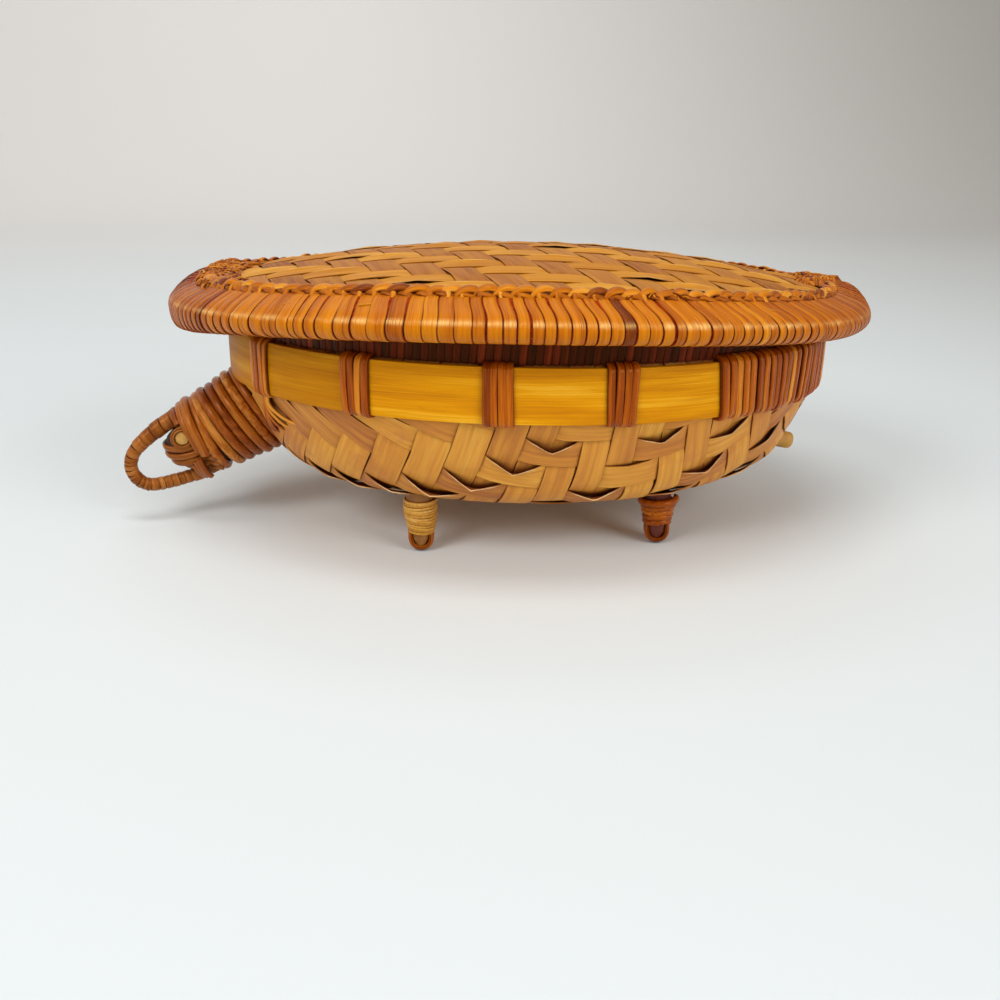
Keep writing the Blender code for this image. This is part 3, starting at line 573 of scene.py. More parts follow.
def bowl_point(u, v):
    a, b, z, end_u, end_v = bowl_row(bowl_level(u, v), BOWL_A, BOWL_B, BOWL_Z, BOWL_U, BOWL_V)
    angle = np.arctan2(v / end_v, u / end_u)
    return xyz(a * np.cos(angle), b * np.sin(angle), z)


def dome_point(u, v):
    x, y = u / (LID[0] - RIM_WIDTH), v / (LID[1] - RIM_WIDTH)
    bow = np.where(v < 0, SIDE_BOW * y * y, 0.0)
    return xyz(u - LID_SHIFT, v, LID_EDGE + DOME_RISE * (1 - x * x - y * y) + bow)


def raised(form, sign, u, v, height):
    """Points of the mat at a height above the form that it is laid on."""
    step = 0.3
    ahead = form(u + step, v) - form(u - step, v)
    aside = form(u, v + step) - form(u, v - step)
    return form(u, v) + unit(np.cross(ahead, aside)) * sign * height[..., None]


def over(i, j, phase):
    """1 where strip i of the first set passes over strip j of the second, and -1 under."""
    return np.where(np.mod(i + j + phase, 4) < 2, 1.0, -1.0)


def wave(x, state):
    """The height of a strip at place x along the strips that it crosses."""
    here = np.round(x)
    f = x - here
    h, beside = state(here), state(here + np.sign(f))
    return h + (beside - h) / 2 * ease((np.abs(f) - 0.2) / 0.3)


def float_place(x, state):
    """How far along its float, from 0 to 1, a strip is at x, and where that float starts."""
    here = np.round(x)
    f = x - here + 0.5
    same_before = state(here - 1) == state(here)
    return np.where(same_before, (1 + f) / 2, f / 2), np.where(same_before, here - 1, here)


def chance(i, j, salt):
    """A fixed number from 0 to 1 for each crossing."""
    value = np.sin(i * 127.1 + j * 311.7 + salt * 74.7) * 43758.5453
    return value - np.floor(value)


ACROSS = np.array([-1, -0.96, -0.62, -0.2, 0.2, 0.62, 0.96, 1])


def plait(
    form, sign, inside, width, reach, phase, tilt, fan, lift, strip, amp, thick, base, arch, gape, swell=None
):
    """Both sets of a twill mat on a form. fan() spreads the first set, whose strips lie at u. The
    second set's lie at v, tilted. lift() tells how open each edge of a float stands."""
    piles = []
    slope = math.tan(tilt)

    def first_u(p, v):
        return p + fan(p, v)

    def first_p(u, v):
        p = u
        for _ in range(6):
            p = u - fan(p, v)
        return p

    for which in (0, 1):
        pile = Pile()
        count = int(reach[which] / width) + 1
        s = np.arange(-reach[1 - which], reach[1 - which] + 1, width / 7)
        along = np.broadcast_to(s[:, None], (len(s), len(ACROSS)))
        for k in range(-count, count + 1):
            drift = 0.12 * np.sin(s * draw(0.015, 0.04) + draw(0, 6)) + draw(-0.06, 0.06)
            half = width * strip / 2 * draw(0.985, 1.01)
            tone = random_tone(0.5, 0.15, 0.02, 0.98)
            centre = k * width + drift[:, None]
            if which == 0:
                u, v = first_u(centre, along), along
                crossing = (v - u * slope) * math.cos(tilt) / width
                state = lambda j: over(k, j, phase)
            else:
                u, v = along, centre / math.cos(tilt) + along * slope
                crossing = first_p(u, v) / width
                state = lambda i: -over(i, k, phase)
            share, first = float_place(crossing, state)
            on_top = state(np.round(crossing)) > 0
            height = np.where(on_top, arch[0], -arch[1]) * np.sin(math.pi * share)
            height = height + amp * wave(crossing, state)
            # Each float's far and near edge may stand off and pull in
            opened = np.zeros_like(share)
            for edge in (-1, 1):
                amount = lift(which, k, first, edge, v) * (1 - np.abs(2 * share - 1)) * on_top
                opened = opened + np.where(edge * ACROSS > 0, amount, 0)
                height = height + amount * np.clip(edge * ACROSS, 0, 1) ** 1.6 * gape[1]
            lateral = ACROSS * (half - opened * gape[0])
            if which == 0:
                u = first_u(centre + lateral, v)
            else:
                v = v + lateral / math.cos(tilt)
            height = height - 0.06 * np.abs(ACROSS) ** 3 + (swell(u, v) if swell else 0)
            keep = inside(u[:, len(ACROSS) // 2], v[:, len(ACROSS) // 2])
            if keep.sum() < 4:
                continue
            u, v, height, proud = u[keep], v[keep], height[keep], opened[keep]
            top = raised(form, sign, u, v, height + thick / 2 + base)
            bottom = raised(form, sign, u, v, height - thick / 2 + base)
            points = np.concatenate([top, bottom[:, ::-1]], 1)
            across = np.concatenate([ACROSS, ACROSS[::-1]])
            level = np.concatenate([1 + proud, 0.75 + proud[:, ::-1]], 1)
            pile.grid(points, s[keep] + draw(0, 500), across, tone, level=level)
        piles.append(pile)
    return piles


def bowl_fan(p, v):
    share = 0.27 - 0.42 * ease((-10 - p) / 100)
    return share * np.maximum(0, -(v + 32))


def bowl_inside(u, v):
    return bowl_level(u, v) < len(BOWL_A) - 1.05


# Level floats whose upper edge gapes on the near side: for each strip, how far by first upright
GAPING = {
    -9: {0: 0.3},
    -8: {-1: 0.95, 3: 0.8},
    -7: {-2: 1.0, 2: 0.15, 6: 0.45},
    -6: {-3: 0.95, 1: 0.95, 5: 0.9},
    -5: {-4: 0.8, 0: 0.15, 4: 0.4, 8: 0.4},
    -4: {-5: 0.6, -1: 0.12, 3: 0.25, 7: 0.55},
    -3: {-6: 0.6, 6: 0.4},
    -2: {-7: 0.5},
}


def bowl_lift(which, k, start, edge, v):
    """How far an edge gapes: as in the photo on the near side, and by chance elsewhere."""
    luck = chance(start, k, 1 + edge)
    gaping = np.zeros_like(luck)
    if which == 1 and edge == -1:
        for first, much in GAPING.get(k, {}).items():
            gaping = gaping + much * (start == first)
    elif which == 1 and k > 1:
        gaping = 0.7 * ease((luck - 0.55) / 0.3) * ease((v - 40) / 10)
    return gaping + (0.16 if which == 1 else 0.08) * ease((luck - 0.7) / 0.2) + 0.02


def bowl_swell(u, v):
    """The plaiting stands out from the tail's root."""
    return 2.7 * np.exp(-((v / 42) ** 2)) * ease((u - 74) / 18) * ease((124 - u) / 12)


def make_bowl():
    upright, level = plait(
        bowl_point, -1, bowl_inside, BOWL_STRIP, (150, 125), 3, math.radians(9), bowl_fan, bowl_lift,
        strip=0.99, amp=0.5, thick=0.42, base=-0.75, arch=(0.22, 0.1), gape=(4.1, 1.9), swell=bowl_swell,
    )
    upright.build("bowl_strips_upright", PLAIT_LOOK, "plait_tan", "woven_bowl")
    level.build("bowl_strips_level", PLAIT_LOOK, "plait_tan", "woven_bowl")


def dome_fan(p, v):
    return -0.29 * v


def dome_inside(u, v):
    return (u / 112.5) ** 2 + (v / 84.9) ** 2 < 1


def dome_lift(which, k, start, edge, v):
    luck = chance(start, k, 5 + edge)
    return (0.62 if which == 1 else 0.2) * ease((luck - 0.5) / 0.3) + 0.04


def make_dome():
    cross, long = plait(
        dome_point, 1, dome_inside, DOME_STRIP, (118, 92), 0, math.radians(1), dome_fan, dome_lift,
        strip=0.985, amp=0.26, thick=0.36, base=-0.5, arch=(0.12, 0.05), gape=(3.0, 1.1),
    )
    cross.build("dome_strips_cross", DOME_PINK_LOOK, "plait_tan", "lid_dome", body="lid")
    long.build("dome_strips_long", DOME_GOLD_LOOK, "plait_tan", "lid_dome", body="lid")


# Lid rim: cane wrapped over the rod and hoops

# Places on a wrap, by distance in from the lid's outline and height from its edge
WRAP = [
    (12.2, -3.0), (12.6, -6.0), (12.3, -9.4), (10.6, -11.1), (8.4, -11.6), (6.0, -11.75), (3.6, -11.5),
    (1.7, -10.6), (0.5, -9.2), (0.0, -7.4), (0.3, -5.6), (1.3, -3.9), (3.0, -2.5), (5.2, -1.4), (7.8, -0.4),
    (10.2, 0.6), (12.2, 1.4), (14.2, 1.3),
]


def far_roll(angle):
    """The lid's roll is thicker where it turns the ends."""
    return near(angle, (1, 166, 19), (1.3, 6, 19))


def behind(angle):
    """1 along the far side, where the dome's own edge stands above the wraps and the braid."""
    degrees = apart(angle, 85)
    return ease((degrees + 86) / 9) * ease((87 - degrees) / 26)


def wrap_at(angle, inset, height):
    grow = far_roll(angle)
    hang = near(angle, (3.3, 190, 24), (-1.2, 3, 20), (0.9, 140, 25))
    taller = np.where(height > -7, 2.6 * grow * ease((height + 7) / 6), -hang * ease((-7 - height) / 4))
    height = height + taller - 2.0 * behind(angle) * ease((inset - 2) / 7) - grow * ease((inset - 9) / 4)
    wider = 1.1 * grow + near(angle, (0.8, 186, 20))
    return lid_at(angle, inset - wider * (inset < 8), LID_EDGE + height)


def wrap_places():
    """Where each wrap starts along the outline, and its width there."""
    starts, widths = [0.0], []
    while starts[-1] < LID_OVAL.length - 1.5:
        angle = LID_OVAL.angle(starts[-1])
        wide = 1 + near(angle, (0.35, 182, 18), (0.7, 236, 11), (0.3, 255, 9), (0.06, 272, 12))
        widths.append(WRAP_WIDTH * wide * draw(0.84, 1.14))
        starts.append(starts[-1] + widths[-1])
    scale = LID_OVAL.length / starts[-1]
    return [(start * scale, width * scale) for start, width in zip(starts, widths)]


def make_lid_wrap():
    pile = Pile()
    profile = smooth_line(WRAP, 32)
    inset, height = profile.T
    lean_share = np.where(inset < 13, ease((height + 9) / 9), 1.0) * ease(inset / 13) * (height > -7.4)
    bend = np.exp(-(((height + 4.7) / 1.15) ** 2)) * (inset < 6)
    fuller = 0.75 * np.sin(np.pi * np.clip(1 - (height + 11.8) / 9, 0, 1) / 2) - 0.35 * (height > -4)
    for start, width in wrap_places():
        angle = float(LID_OVAL.angle(start))
        parts = [1.0]
        if draw() < 0.13 + near(angle, (0.6, 236, 11)):
            cut = draw(0.35, 0.65)
            parts = [cut, 1 - cut]
        gap = random.choice([0.12, 0.36, 0.55], p=[0.25, 0.45, 0.3])
        gap += near(angle, (0.5, 180, 26), (0.35, 2, 22))
        tone = random_tone(0.52, 0.085, 0.2, 0.9)
        # The wraps are painted darker at the lid's two ends, where the lid turns away from the light: painted
        # shade. They are a little darker at two other places too.
        tone = max(0.03, tone - near(angle, (0.36, 180, 26), (0.34, 2, 22), (0.2, 153, 20), (0.12, 322, 22)))
        lean = -2.3 + draw(-0.5, 0.5)
        # One dark strand, and one open joint
        if math.radians(282.6) < angle < math.radians(284.4):
            tone = 0.05
        if math.radians(212.4) < angle < math.radians(214.6):
            gap, tone = 1.9, 0.12
        # Wear with a painted highlight on the bend, strongest on the near side, which faces the lamps
        wear_and_sheen_amount = 1 + draw(0.25, 0.85) * (bend * (0.35 + 0.65 * max(0.0, -math.sin(angle))))[:, None]
        for part in parts:
            where = start + width * part / 2 + lean * lean_share + draw(-0.2, 0.2)
            angles = LID_OVAL.angle(where)
            points = wrap_at(angles, inset + 0.75 * (1 - inset / 7), height)
            points[:, 2] += fuller
            up = np.cross(unit(np.gradient(points, axis=0)), LID_OVAL.ahead(angles))
            shrink = np.hypot((LID[0] - inset) * np.sin(angles), (LID[1] - inset) * np.cos(angles))
            shrink /= np.hypot(LID[0] * np.sin(angles), LID[1] * np.cos(angles))
            tall = 0.95 * draw(0.85, 1.15) * (1 if len(parts) == 1 else 0.9)
            shade = tone + draw(-0.04, 0.04)
            room = gap if part == parts[-1] else 0.1
            pile.strand(points, up, (width * part - room) * shrink, tall, shade, CANE, level=wear_and_sheen_amount)
            start += width * part
    pile.build("lid_cane_wraps", CANE_LOOK, "cane_orange", "lid_rim_wrap", body="lid")
    # A dark sheet under the wraps, seen in their gaps: painted shade
    shade_sheet = Pile()
    angles = around(180)[:, None]
    inset, height = profile[::2].T
    lower = 0.8 * (height < -8) - 0.6 * (height > -4)
    shell = wrap_at(angles, inset + 1.3 * (1 - inset / 7), height + lower)
    shade_sheet.grid(shell, np.arange(180) * 4.0, np.linspace(-0.5, 0.5, len(inset)), 0.1, tube=False, ring=True)
    shade_sheet.build("lid_wrap_shade_sheet", SHADE_SHEET_LOOK, "cane_orange", body="lid")


# Braid along the inner ends of the wraps


def braid_at(angle, inset, rise):
    """A place on or beside the braid, which is let in behind, by its height above the dome's edge."""
    share = (LID[0] - BRAID_INSET) / (LID[0] - RIM_WIDTH)
    return lid_at(angle, inset, LID_EDGE + DOME_RISE * (1 - share**2) + 1.1 - 2.2 * behind(angle) + rise)


def mat_at(angle, inset, rise):
    """A place on the mat, which covers the wraps' inner ends and the dome's tip."""
    insets = [9, 12, 15, 18, 21, 25]
    height = np.interp(inset, insets, [0.2, 1.3, 1.4, 1.4, 1.6, 2.3])
    height = height + far_roll(angle) * np.interp(inset, insets, [2.6, 1.8, 1.3, 0.9, 0.5, 0.0])
    return lid_at(angle, inset, LID_EDGE + height - 1.6 * behind(angle) + rise)


def braid_ropes(pile):
    """Three strands laid as a rope, under the folds, in a darker tone than the folds as painted shade."""
    samples = BRAID_ROUNDS * 26
    turns = math.tau * BRAID_ROUNDS
    s = np.arange(samples) * BRAID_OVAL.length / samples
    phase = turns * s / BRAID_OVAL.length + 0.25 * np.sin(s * 0.11) + 0.2 * np.sin(s * 0.047)
    phase[-30:] = phase[-30:] + (turns - phase[-1] - turns / samples) * np.linspace(0, 1, 30)
    angle = BRAID_OVAL.angle(s)
    up = unit(0.25 * BRAID_OVAL.out(angle) + [0, 0, 1])
    for k in range(3):
        turn = phase + math.tau * k / 3
        swing = 1.7 * np.sin(turn) * (1 + 0.12 * np.sin(s * 0.21 + k))
        points = braid_at(angle, BRAID_INSET + swing, 0.5 * np.sin(2 * turn) - 0.7)
        pile.strand(points, up, 3.0 + 0.3 * np.sin(s * 0.17 + 2 * k), 1.4, 0.3, ring=True)


def braid_fold(pile, middle):
    """One fold, which lies on the next like a bead on a string."""
    t = np.linspace(-1, 1, 13)
    at = BRAID_OVAL.angle(middle + draw(3.3, 4.2) * t)
    out = BRAID_INSET - 0.5 + draw(-0.35, 0.35) + draw(0.6, 1.3) * t
    points = braid_at(at, out, draw(2.0, 2.7) * np.clip(1 - t * t, 0, 1) ** 0.7 - 1.1)
    up = unit(xyz(0, 0, 1.0) + 0.5 * BRAID_OVAL.out(at))
    tone = random_tone(0.58, 0.12, 0.3, 0.9) if draw() > 0.1 else 0.15
    pile.strand(points, up, draw(3.0, 3.6) * (1 - 0.5 * t * t), 1.25, tone)


def braid_stitch(pile, start, facing):
    """A thin strand that comes out of the wraps and goes down behind the folds."""
    t = np.linspace(0, 1, 11)
    at = BRAID_OVAL.angle(start - 2.0 * t + 0.9)
    out = 11.6 + 6.4 * t
    low = wrap_at(at, np.minimum(out, 13.0), np.interp(out, [10.2, 12.2, 14.2], [0.6, 1.4, 1.3]))[:, 2]
    points = braid_at(at, out, 0.5 * (1 - facing) - 0.1)
    points[:, 2] = low + (points[:, 2] - low) * ease(t * 2.4) + 0.9 * np.sin(math.pi * t)
    points[:, 2] -= 2.4 * ease((t - 0.7) / 0.3) + 1.6 * ease((0.24 - t) / 0.24)
    up = unit(xyz(0, 0, 1.0) + 0.4 * BRAID_OVAL.out(at) * (1 - 2 * t[:, None]))
    tone = random_tone(0.6, 0.18, 0.1, 0.98)
    pile.strand(points, up, draw(1.4, 2.1), 0.75, tone)


def braid_mat(pile, centre, spread, count):
    """Short strands laid this way and that: a mat at an end of the lid, or a few frayed ends."""
    t = np.linspace(0, 1, 8)
    dense = count > 100
    for k in range(count):
        base = BRAID_OVAL.distance(math.radians(centre + spread * draw(-1, 1)))
        flat = k < 0.4 * count
        across = draw(-0.5, 0.5) if flat else draw(-1.3, 1.3)
        long = draw(7, 12) if flat else draw(3.5, 6.5)
        first = draw(10.5, 23.5) if dense else draw(13, 17.5)
        angle = BRAID_OVAL.angle(base + long * math.cos(across) * (t - 0.5))
        out = first + long * math.sin(across) * (t - 0.5) + draw(-0.6, 0.6) * np.sin(3 * t)
        rise = (-0.3 if flat else draw(0.0, 0.45)) + 0.45 * np.sin(math.pi * t) - 0.7 * np.abs(2 * t - 1) ** 3
        points = mat_at(angle, np.maximum(out, 9.6), rise) if dense else braid_at(angle, out, 0.4 + rise)
        wide = draw(1.2, 1.8) if dense and flat else draw(0.5, 1.0)
        tone = draw(0.1, 0.6) if flat else draw(0.05, 0.8)
        pile.strand(points, xyz(0, -0.2, 1.0), wide * (1 - 0.4 * np.abs(2 * t - 1)), 0.55, tone)


def make_braid():
    pile = Pile()
    braid_ropes(pile)
    pitch = BRAID_OVAL.length / BRAID_FOLDS
    for k in range(BRAID_FOLDS):
        middle = (k + draw(-0.13, 0.13)) * pitch
        angle = float(BRAID_OVAL.angle(middle))
        facing = max(0.0, -math.sin(angle))
        # The two ends, where the mats lie, have no folds
        if near(angle, (1, 184, 21), (1, 2, 15)) < 0.75:
            braid_fold(pile, middle)
        if draw() < 0.55 + 0.3 * facing:
            braid_stitch(pile, middle + pitch / 2 + draw(-0.5, 0.5), facing)
    for centre, spread, count in ((184, 19, 560), (2, 15, 380), (289, 7, 30), (160, 10, 40)):
        braid_mat(pile, centre, spread, count)
    pile.build("lid_braid_strands", BRAID_LOOK, "cane_orange", "lid_braid", body="lid")


# Bamboo band, rim whipping and lashings


def make_band():
    pile = Pile()
    half = (BAND_TOP - BAND_BOTTOM) / 2
    z = np.linspace(-1, 1, 13)
    face = np.stack([-0.12 * (1 - z * z) + 0.25 * np.maximum(0, np.abs(z) - 0.93) / 0.07, z * 0.985], -1)
    back = [(0.45, 1.0), (BAND_THICKNESS - 0.3, 1.0), (BAND_THICKNESS, 0.97)]
    section = np.vstack([face, back, [(i, -z) for i, z in back[::-1]]])
    angles = around(240)
    wobble = 0.10 * np.sin(3 * angles + 1) + 0.06 * np.sin(7 * angles)
    inset, z = section.T
    height = BAND_BOTTOM + half + (half + wobble[:, None] * np.sign(z)) * z
    points = mouth_at(angles[:, None], inset + 0.12, height)
    pile.grid(points, np.arange(240) * 2.4, z, 0.5, ring=True)
    pile.build("band_bamboo", BAND_LOOK, "bamboo_gold", "outer_band", smooth=35)


def make_whipping():
    pile = Pile()
    profile = smooth_line([
        (1.9, 72.9), (1.7, 75.5), (1.6, 78), (1.6, 82.2), (2.6, 83.8), (5.4, 84.0), (8.2, 83.8), (9.2, 82.2),
        (9.2, 78), (9.0, 74.5),
    ], 16)
    inset, height = profile.T
    oval = Oval(MOUTH - 1.5)
    count = int(oval.length / WHIPPING_PITCH)
    width = oval.length / count
    for k in range(count):
        angles = oval.angle((k + 0.5) * width + np.linspace(-1, 1, len(profile)))
        points = mouth_at(angles, 0.7 + inset * 0.87, height - 0.8 * (height > 80))
        up = np.cross(unit(np.gradient(points, axis=0)), MOUTH_OVAL.ahead(angles))
        tone = random_tone(0.42, 0.2, 0.02, 0.95)
        pile.strand(points, up, width * 0.96, 0.85, tone, DEE[[0, 2, 4, 6, 8, 9, 10]])
    pile.build("rim_whipping_strands", WHIP_IN_SHADE_LOOK, "rattan_brown", "rim_whipping")


def lash_loop(pile, at, width, thick, tone, skew, low, twist):
    """One turn of rattan over both bands, closed on itself."""
    out, inner, top, bottom = 0.1, 5.55, BAND_TOP + 0.3, BAND_BOTTOM + 0.4 - low
    corners = np.array([
        (inner, bottom + 0.8), (inner - 0.8, bottom), (out + 0.7, bottom), (-out, bottom + 0.9),
        (-out, bottom + 4), (-out - 0.1, (top + bottom) / 2), (-out, top - 4), (-out, top - 0.9),
        (out + 0.7, top), (inner - 0.8, top), (inner, top - 0.8), (inner, (top + bottom) / 2),
    ])
    fine = []
    for a, b in zip(corners, np.roll(corners, -1, 0)):
        steps = 3 if np.linalg.norm(b - a) > 3 else 2
        fine += [a + (b - a) * (i / steps) for i in range(steps)]
    for _ in range(2):
        fine = 0.5 * np.array(fine) + 0.25 * (np.roll(fine, 1, 0) + np.roll(fine, -1, 0))
    share = (fine[:, 1] - bottom) / (top - bottom)
    angles = MOUTH_OVAL.angle(at + skew * (share - 0.5) + twist * np.sin(share * math.pi))
    points = mouth_at(angles, fine[:, 0], fine[:, 1])
    middle = mouth_at(angles, (inner - out) / 2, np.clip(fine[:, 1], bottom + 3, top - 3))
    pile.strand(points, unit(points - middle), width, thick, tone, CANE, ring=True)


def make_lashing(name, degrees):
    pile = Pile()
    middle = MOUTH_OVAL.distance(math.radians(degrees))
    for k in (-1.5, -0.5, 0.5, 1.5):
        tone = random_tone(0.36, 0.2, 0.04, 0.95)
        width = 2.62 * draw(0.94, 1.06)
        at = middle + k * 2.3 + draw(-0.12, 0.12)
        skew, low, twist = draw(-0.7, 0.7), draw(0, 0.4), draw(-0.3, 0.3)
        lash_loop(pile, at, width, 1.15 + 0.25 * draw(), tone, skew, low, twist)
    pile.build(f"{name}_strands", LASH_LOOK, "rattan_brown", name)


def make_tail_lashing():
    pile = Pile()
    start = MOUTH_OVAL.distance(math.tau + math.radians(TAIL_LASHING_START)) - 2.2
    for k in range(TAIL_LASHING_TURNS):
        gaps = (0.7 if k >= 5 else 0.0) + (1.5 if k >= 13 else 0.0)
        tone = random_tone(0.52, 0.2, 0.05, 0.98)
        width = 3.0 * draw(0.94, 1.05)
        skew = -1.2 * ease((9 - k) / 6) + 2.6 * ease((k - 6) / 9) + draw(-0.6, 0.4)
        low, thick, twist = draw(0, 0.7), 1.5 + 0.2 * draw(), draw(-0.3, 0.3)
        lash_loop(pile, start + k * TAIL_LASHING_PITCH + gaps, width, thick, tone, skew, low, twist)
    pile.build("tail_lashing_strands", LASH_LOOK, "rattan_brown", "tail_lashing")


def make_lashings():
    for number, degrees in enumerate(LASHING_ANGLES, 1):
        make_lashing(f"lashing_left_{number}", degrees)
        make_lashing(f"lashing_right_{number}", 360 - degrees)
    make_tail_lashing()


def make_tie():
    """Thin strands that leave the first lashing and fan down over the bowl."""
    pile = Pile()
    t = np.linspace(0, 1, 14)
    ends = (202.5, 33.5, 1.0), (206.5, 34.5, 1.5), (211.0, 37.5, 2.0), (216.5, 39.5, 2.4), (221.5, 42.5, 2.6)
    for k, (end, low, bend) in enumerate(ends):
        start = 214.5 + (k - 2) * 0.4
        angle = np.radians(start + (end - start) * t**1.5 - bend * np.sin(math.pi * t))
        height = 54.5 + (low - 54.5) * t
        level = np.interp(height, BOWL_Z[15:], BOWL_ROWS[15:])
        a, b = (half + 0.2 for half in bowl_row(level, BOWL_A, BOWL_B))
        out = MOUTH_OVAL.out(angle)
        off = 1.3 * np.sin(math.pi * np.clip(t * 1.2, 0, 1)) - 2.4 * ease((t - 0.72) / 0.28)
        points = xyz(a * np.cos(angle), b * np.sin(angle), height) + out * off[:, None]
        pile.strand(points, unit(out + [0, 0, -0.3]), 1.9 - 0.5 * t, 1.2 - 0.3 * t, 0.45 + 0.12 * k)
    pile.build("head_tie_strands", LASH_LOOK, "rattan_brown", "head_tie")


# Head, with x forward along its axis, y aside and z up

# Turns drawn in round the eyes and over the loop's root: tone, width, and half of each route
FRONT_TURNS = (
    (0.55, 3.7, [
        (18.4, 0, 13.9), (18.5, 5.0, 13.1), (18.9, 9.6, 10.6), (19.2, 12.2, 6.6), (19.4, 12.9, 2.6),
        (19.6, 12.6, -0.8), (20.2, 11.4, -3.4),
    ]),
    (0.64, 2.9, [
        (20.8, 0, 13.2), (20.9, 4.6, 12.5), (21.2, 8.0, 10.4), (21.3, 9.9, 7.4), (21.3, 10.4, 3.6),
        (21.4, 10.2, 0.4), (21.9, 9.6, -1.8),
    ]),
    (0.36, 2.6, [(23.2, 0, 12.4), (23.3, 3.4, 12.0), (23.3, 6.2, 10.6), (23.2, 7.8, 9.0)]),
)
# Short strands that run down from the eye to the throat: tone and route
THROAT = (
    (0.55, [(24.4, 9.0, -4.6), (24.8, 8.2, -7.2), (24.8, 6.4, -10.2), (24.4, 4.4, -12.6)]),
    (0.42, [(22.9, 10.6, -4.0), (23.4, 9.6, -7.2), (23.6, 8.0, -10.6), (23.0, 6.0, -12.8)]),
    (0.5, [(25.8, 7.4, -5.6), (26.0, 6.4, -8.4), (25.8, 4.4, -11.2), (25.4, 2.6, -12.6)]),
)


def make_head_coils():
    pile = Pile()
    per = 40
    t = np.arange(-44, int(5.25 * per) + 1) / per
    x = -1.0 + t * COIL_PITCH
    angle = math.tau * t
    radius = HEAD_RADII[0] + (HEAD_RADII[1] - HEAD_RADII[0]) * x / HEAD_LENGTH
    reach = radius - 1.9 + 0.22 * np.sin(t * 2.3) + 0.1 * np.sin(t * 7.1) - 0.5 * ease(-0.6 - t)
    z = reach * np.sin(angle)
    points = xyz(x + (0.1 - 0.26 * ease((x - 11) / 8)) * z, reach * np.cos(angle), z)
    outward = xyz(0.1, np.cos(angle), np.sin(angle))
    tone = np.clip(0.5 + 0.2 * np.sin(t * 1.7 + 0.6) + 0.12 * np.sin(t * 5.1), 0.05, 0.95)
    pile.strand(points, outward, 3.75, 2.15, tone[:, None])
    for tone, width, half in FRONT_TURNS:
        half = np.array(half, float)
        line = smooth_line(np.vstack([half[::-1], half[1:] * [1, -1, 1]]), 60)
        pile.strand(line, unit(line - [15.0, 0, 0]), width, 1.7, tone)
    for side in (1, -1):
        for tone, route in THROAT:
            line = smooth_line(route, 20) * [1, side, 1]
            pile.strand(line, xyz(0.75, side * 1.0, 0.1), 2.5, 1.6, tone)
    pile.build("head_coils", HEAD_LOOK, "rattan_brown", "head_wrap", place=from_head)


def make_snout():
    """Strands folded flat over the front, below the eyes."""
    pile = Pile()
    a = np.linspace(-0.5, 0.5, 33) * math.pi
    rows = (
        (1.0, 2.2, 8.5, 11.4), (-1.6, 1.8, 8.9, 12.0), (-4.2, 1.4, 8.6, 11.4), (-6.6, 1.0, 7.2, 8.6),
        (-8.8, 0.6, 5.8, 6.0),
    )
    for row, (z, lift, reach, bulge) in enumerate(rows):
        height = z - 0.9 + (lift + 0.9) * np.cos(a) ** 1.5
        points = xyz(HEAD_LENGTH + 0.2 + bulge * np.cos(a) ** 0.75, reach * np.sin(a), height)
        back = [(17.2, 3.6, z * 1.1 - 1.6), (18.6, 2.9, z * 1.06 - 1.3), (19.8, 1.4, z - 1.0)]
        back = np.array(back) + [0, reach, 0]
        points = smooth_line(np.vstack([back * [1, -1, 1], points, back[::-1]]), 60)
        outward = unit((points - [14.0, 0, z]) * [0.7, 1.3, 0.2])
        pile.strand(points, outward, 2.85, 1.35, 0.45 + 0.12 * math.sin(3.0 * row))
    straps = "nose_strap_upper", "nose_strap_lower"
    pile.build("snout_folds", LOOP_LOOK, "rattan_brown", *straps, place=from_head)


def make_eyes():
    """The eyes are the ends of one dowel: pith in rings of bark."""
    pile, rings = Pile(), Pile()
    eye = np.array([24.5, 0, 4.9])
    a = around(24)
    circle = xyz(np.cos(a), 0, np.sin(a))
    end = [(0.05, -10.1), (1.4, -10.05), (2.2, -9.9), (2.5, -9.5)]
    shape = end + [(r, -y) for r, y in end[::-1]]
    points = np.stack([eye + circle * r + [0, y, 0] for r, y in shape], 0)
    pile.grid(points, np.arange(len(shape)) * 2.0, np.linspace(-0.6, 0.6, 24), 0.6)
    for side in (1, -1):
        for radius, y, wide in ((2.9, 9.5, 0.95), (3.55, 8.8, 0.9)):
            up = xyz(0, side, 0) + circle * 0.4
            rings.strand(eye + circle * radius + [0, y * side, 0], up, wide, 0.9, 0.6, ring=True)
    pile.build("eye_pith", PITH_LOOK, "binding_tan", "eye_dowel", place=from_head)
    rings.build("eye_rings", LOOP_LOOK, "cane_orange", place=from_head)


